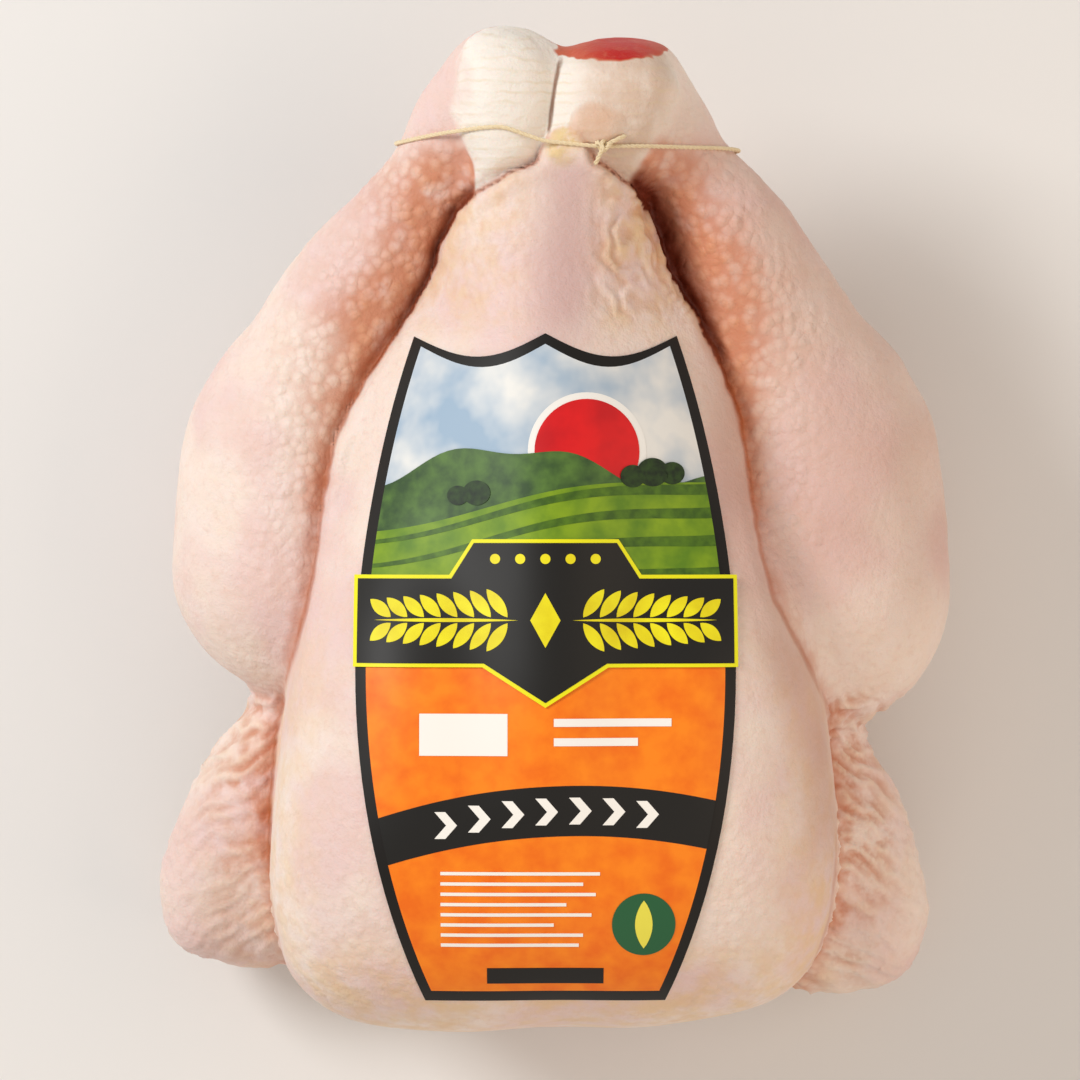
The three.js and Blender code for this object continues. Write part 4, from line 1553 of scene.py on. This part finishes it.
@dataclass
class ElasticString:
    """The elastic string round the hocks, with its knot and two short ends."""

    strand: float = 0.3
    lay: float = 0.27
    pitch: float = 4.2
    knot_x: float = 12.4
    knot_radius: float = 1.15
    knot_lift: float = 0.7
    sink: float = 0.15
    slice_half: float = 1.2
    step: float = 0.7
    sides: int = 8
    knot_turns: tuple[tuple[float, float], ...] = ((-38, 22), (0, -25), (42, 12))
    ends: tuple[tuple[float, float, float], ...] = ((-2.0, -4.2, -1.0), (5.2, 2.6, -0.9))

    def build(self, bird: bpy.types.Object, finish: WovenElastic) -> bpy.types.Object:
        """Makes the string as one piece.

        Args:
            bird: the dressed bird, which the string is drawn tight on.
            finish: the string's finish.

        Returns:
            The string, which replaces the CAD one.
        """
        loop = self.route(bird)
        strands = [self.twisted(loop, i, True) for i in range(3)]
        knot = min(loop, key=lambda p: abs(p.x - self.knot_x) + (0 if p.z > 85 else 100)).copy()
        knot.z += self.knot_lift
        for tilt, lean in self.knot_turns:
            ring = self.ring(knot + Vector((tilt / 45, 0, 0.1)), tilt, lean)
            strands += [self.twisted(ring, i, True) for i in range(3)]
        for reach in self.ends:
            tip = [
                knot + Vector(reach) * t + Vector((0, 0, 0.8 * math.sin(math.pi * t)))
                for t in np.linspace(0, 1, 14)
            ]
            strands += [self.twisted(tip, i, False) for i in range(3)]
        select_only(*strands)
        bpy.ops.object.join()
        string = bpy.context.active_object
        string.name = "elastic_string"
        give_material(string, finish.build())
        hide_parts("string")
        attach(string, "root")
        return string

    def route(self, bird: bpy.types.Object) -> list[Vector]:
        """Draws the tightest loop round the hocks on the skin, evenly stepped.

        Args:
            bird: the dressed bird.

        Returns:
            The string's closed centre line.
        """
        x, y, z = read_points(bird.data, "co").T / MM
        over_line, under_line = np.array(STRING_OVER, float).T, np.array(STRING_UNDER, float).T
        over, under = np.interp(x, *over_line), np.interp(x, *under_line)
        near = np.abs(y - np.where(z > 82, over, under)) < self.slice_half
        fat = (np.abs(x - 5) < 9) & (z > 99)
        held = near & (z > 55) & (np.abs(x) < 60) & ~fat
        hull = self.tightest(np.column_stack((x[held], z[held])))
        middle = hull.mean(axis=0)
        loop = []
        for i in range(len(hull)):
            a, b = hull[i], hull[(i + 1) % len(hull)]
            steps = max(1, round(float(np.hypot(*(b - a))) / self.step))
            loop += [a + (b - a) * k / steps for k in range(steps)]
        loop = np.array(loop)
        for _ in range(4):
            loop = (np.roll(loop, 1, 0) + 2 * loop + np.roll(loop, -1, 0)) / 4
        tangent = np.roll(loop, -1, 0) - np.roll(loop, 1, 0)
        outward = np.column_stack((tangent[:, 1], -tangent[:, 0]))
        outward /= np.hypot(*outward.T)[:, None]
        if ((loop - middle) * outward).sum() < 0:
            outward = -outward
        loop = loop + outward * (self.strand + self.lay - self.sink)
        line = []
        for px, pz in loop:
            upper = smoothstep(76, 90, np.array(pz))
            py = np.interp(px, *under_line) * (1 - upper) + np.interp(px, *over_line) * upper
            line.append(Vector((px, float(py), pz)))
        for _ in range(8):
            line = [(line[i - 1] + line[i] * 2 + line[(i + 1) % len(line)]) / 4 for i in range(len(line))]
        return line

    @staticmethod
    def tightest(points: np.ndarray) -> np.ndarray:
        """Draws the tightest closed line round flat points.

        Args:
            points: the points, one a row.

        Returns:
            The line's corners, anticlockwise.
        """
        rows = sorted(map(tuple, points))
        ends = []
        for order in (rows, rows[::-1]):
            chain: list[tuple[float, float]] = []
            for p in order:
                while len(chain) > 1:
                    (ax, ay), (bx, by) = chain[-2], chain[-1]
                    if (bx - ax) * (p[1] - ay) - (by - ay) * (p[0] - ax) > 0:
                        break
                    chain.pop()
                chain.append(p)
            ends += chain[:-1]
        return np.array(ends)

    def ring(self, centre: Vector, tilt: float, lean: float) -> list[Vector]:
        """Draws one turn of the knot.

        Args:
            centre: its middle.
            tilt: its turn about the upright axis, in degrees.
            lean: how far its upper part leans along x, in degrees.

        Returns:
            The turn's closed centre line.
        """
        turn, tip = math.radians(tilt), math.radians(lean)
        line = []
        for i in range(36):
            a = 2 * math.pi * i / 36
            along, up = math.cos(a) * self.knot_radius, math.sin(a) * self.knot_radius
            across = along * math.sin(turn) + up * math.sin(tip)
            line.append(centre + Vector((across, along * math.cos(turn), up * math.cos(tip))))
        return line

    def twisted(self, line: Sequence[Vector], number: int, closed: bool) -> bpy.types.Object:
        """Makes one of the three strands that are laid round a line.

        Args:
            line: the string's centre line.
            number: which strand, 0 to 2.
            closed: whether the line closes on itself.

        Returns:
            The strand's closed tube.
        """
        count = len(line)
        length = sum((line[(i + 1) % count] - line[i]).length for i in range(count if closed else count - 1))
        turns = max(1, round(length / self.pitch))
        sides = self.sides
        points, travelled = [], 0.0
        for i in range(count):
            ahead = line[(i + 1) % count] if closed or i < count - 1 else line[i]
            behind = line[i - 1] if closed or i else line[i]
            along = (ahead - behind).normalized()
            across = along.cross(Vector((0.13, 0.97, 0.2))).normalized()
            up = along.cross(across)
            angle = 2 * math.pi * (turns * travelled / length + number / 3)
            centre = line[i] + (across * math.cos(angle) + up * math.sin(angle)) * self.lay
            travelled += (line[(i + 1) % count] - line[i]).length
            for j in range(sides):
                a = 2 * math.pi * j / sides
                points.append(centre + (across * math.cos(a) + up * math.sin(a)) * self.strand)
        faces = []
        for i in range(count if closed else count - 1):
            k = (i + 1) % count
            for j in range(sides):
                m = (j + 1) % sides
                faces.append((i * sides + j, k * sides + j, k * sides + m, i * sides + m))
        if not closed:
            faces.append(tuple(range(sides)))
            faces.append(tuple((count - 1) * sides + j for j in reversed(range(sides))))
        strand = mesh_object("strand", points, faces)
        make_outward(strand)
        bpy.ops.object.shade_smooth()
        return strand


@dataclass(frozen=True)
class Lamp:
    """One soft lamp that faces the bird, placed and sized in metres, with its power in watts."""

    name: str
    place: tuple[float, float, float]
    size: float
    power: float
    colour: str = "#ffffff"

    def build(self) -> None:
        """Adds the lamp."""
        bpy.ops.object.light_add(type="AREA", location=self.place)
        lamp = bpy.context.active_object
        lamp.name = self.name
        lamp.data.size = self.size
        lamp.data.energy = self.power
        lamp.data.color = linear(self.colour)[:3]
        lamp.rotation_euler = (-Vector(self.place)).to_track_quat("-Z", "Y").to_euler()


@dataclass(frozen=True)
class Studio:
    """The plain pale floor, the soft light and the camera."""

    floor_size: float = 4.0
    floor_colour: str = "#e9e7e4"
    glow: float = 0.4
    lamps: tuple[Lamp, ...] = (
        Lamp("key", (-0.92, 0.5, 0.9), 0.45, 11.4),
        Lamp("fill", (0.9, -0.1, 0.8), 1.0, 4.8, "#ffe6cc"),
        Lamp("foot", (0.0, -1.1, 0.8), 0.9, 2.6, "#ffe6cc"),
    )

    def build(self) -> None:
        """Makes the floor, the lights, the sky's even glow and the camera."""
        bpy.ops.object.select_all(action="DESELECT")
        bpy.ops.mesh.primitive_plane_add(size=self.floor_size)
        floor = bpy.context.active_object
        floor.name = "floor"
        material, _, shader = new_material("pale_floor")
        shader.inputs["Base Color"].default_value = linear(self.floor_colour)
        shader.inputs["Roughness"].default_value = 0.9
        give_material(floor, material)
        for lamp in self.lamps:
            lamp.build()
        world = bpy.data.worlds.new("soft_room")
        bpy.context.scene.world = world
        world.use_nodes = True
        background = world.node_tree.nodes["Background"]
        background.inputs["Color"].default_value = (1, 1, 1, 1)
        background.inputs["Strength"].default_value = self.glow
        bpy.context.scene.view_settings.view_transform = "Standard"
        self.camera()

    @staticmethod
    def camera() -> None:
        """Puts the camera straight above the bird, at the scale it is seen at."""
        x, y = CAMERA_AIM
        bpy.ops.object.camera_add(location=(x * MM, y * MM, CAMERA_HEIGHT * MM), rotation=(0, 0, 0))
        camera = bpy.context.active_object
        width = PHOTO_PIXELS * PHOTO_SCALE
        camera.data.sensor_width = SENSOR
        camera.data.lens = SENSOR * (CAMERA_HEIGHT - SCALE_HEIGHT) / width
        camera.data.clip_start, camera.data.clip_end = 0.05, 10
        bpy.context.scene.camera = camera


def main() -> None:
    """Builds the scene piece by piece."""
    logging.basicConfig(level=logging.INFO, format="%(name)s: %(message)s")
    Studio().build()
    bird = Bird().build(RawSkin())
    LOG.info("%s: %d faces", bird.name, len(bird.data.polygons))
    for piece in Label().build(bird):
        LOG.info("%s: %d faces", piece.name, len(piece.data.polygons))
    string = ElasticString().build(bird, WovenElastic())
    LOG.info("%s: %d faces", string.name, len(string.data.polygons))


if __name__ == "__main__":
    main()
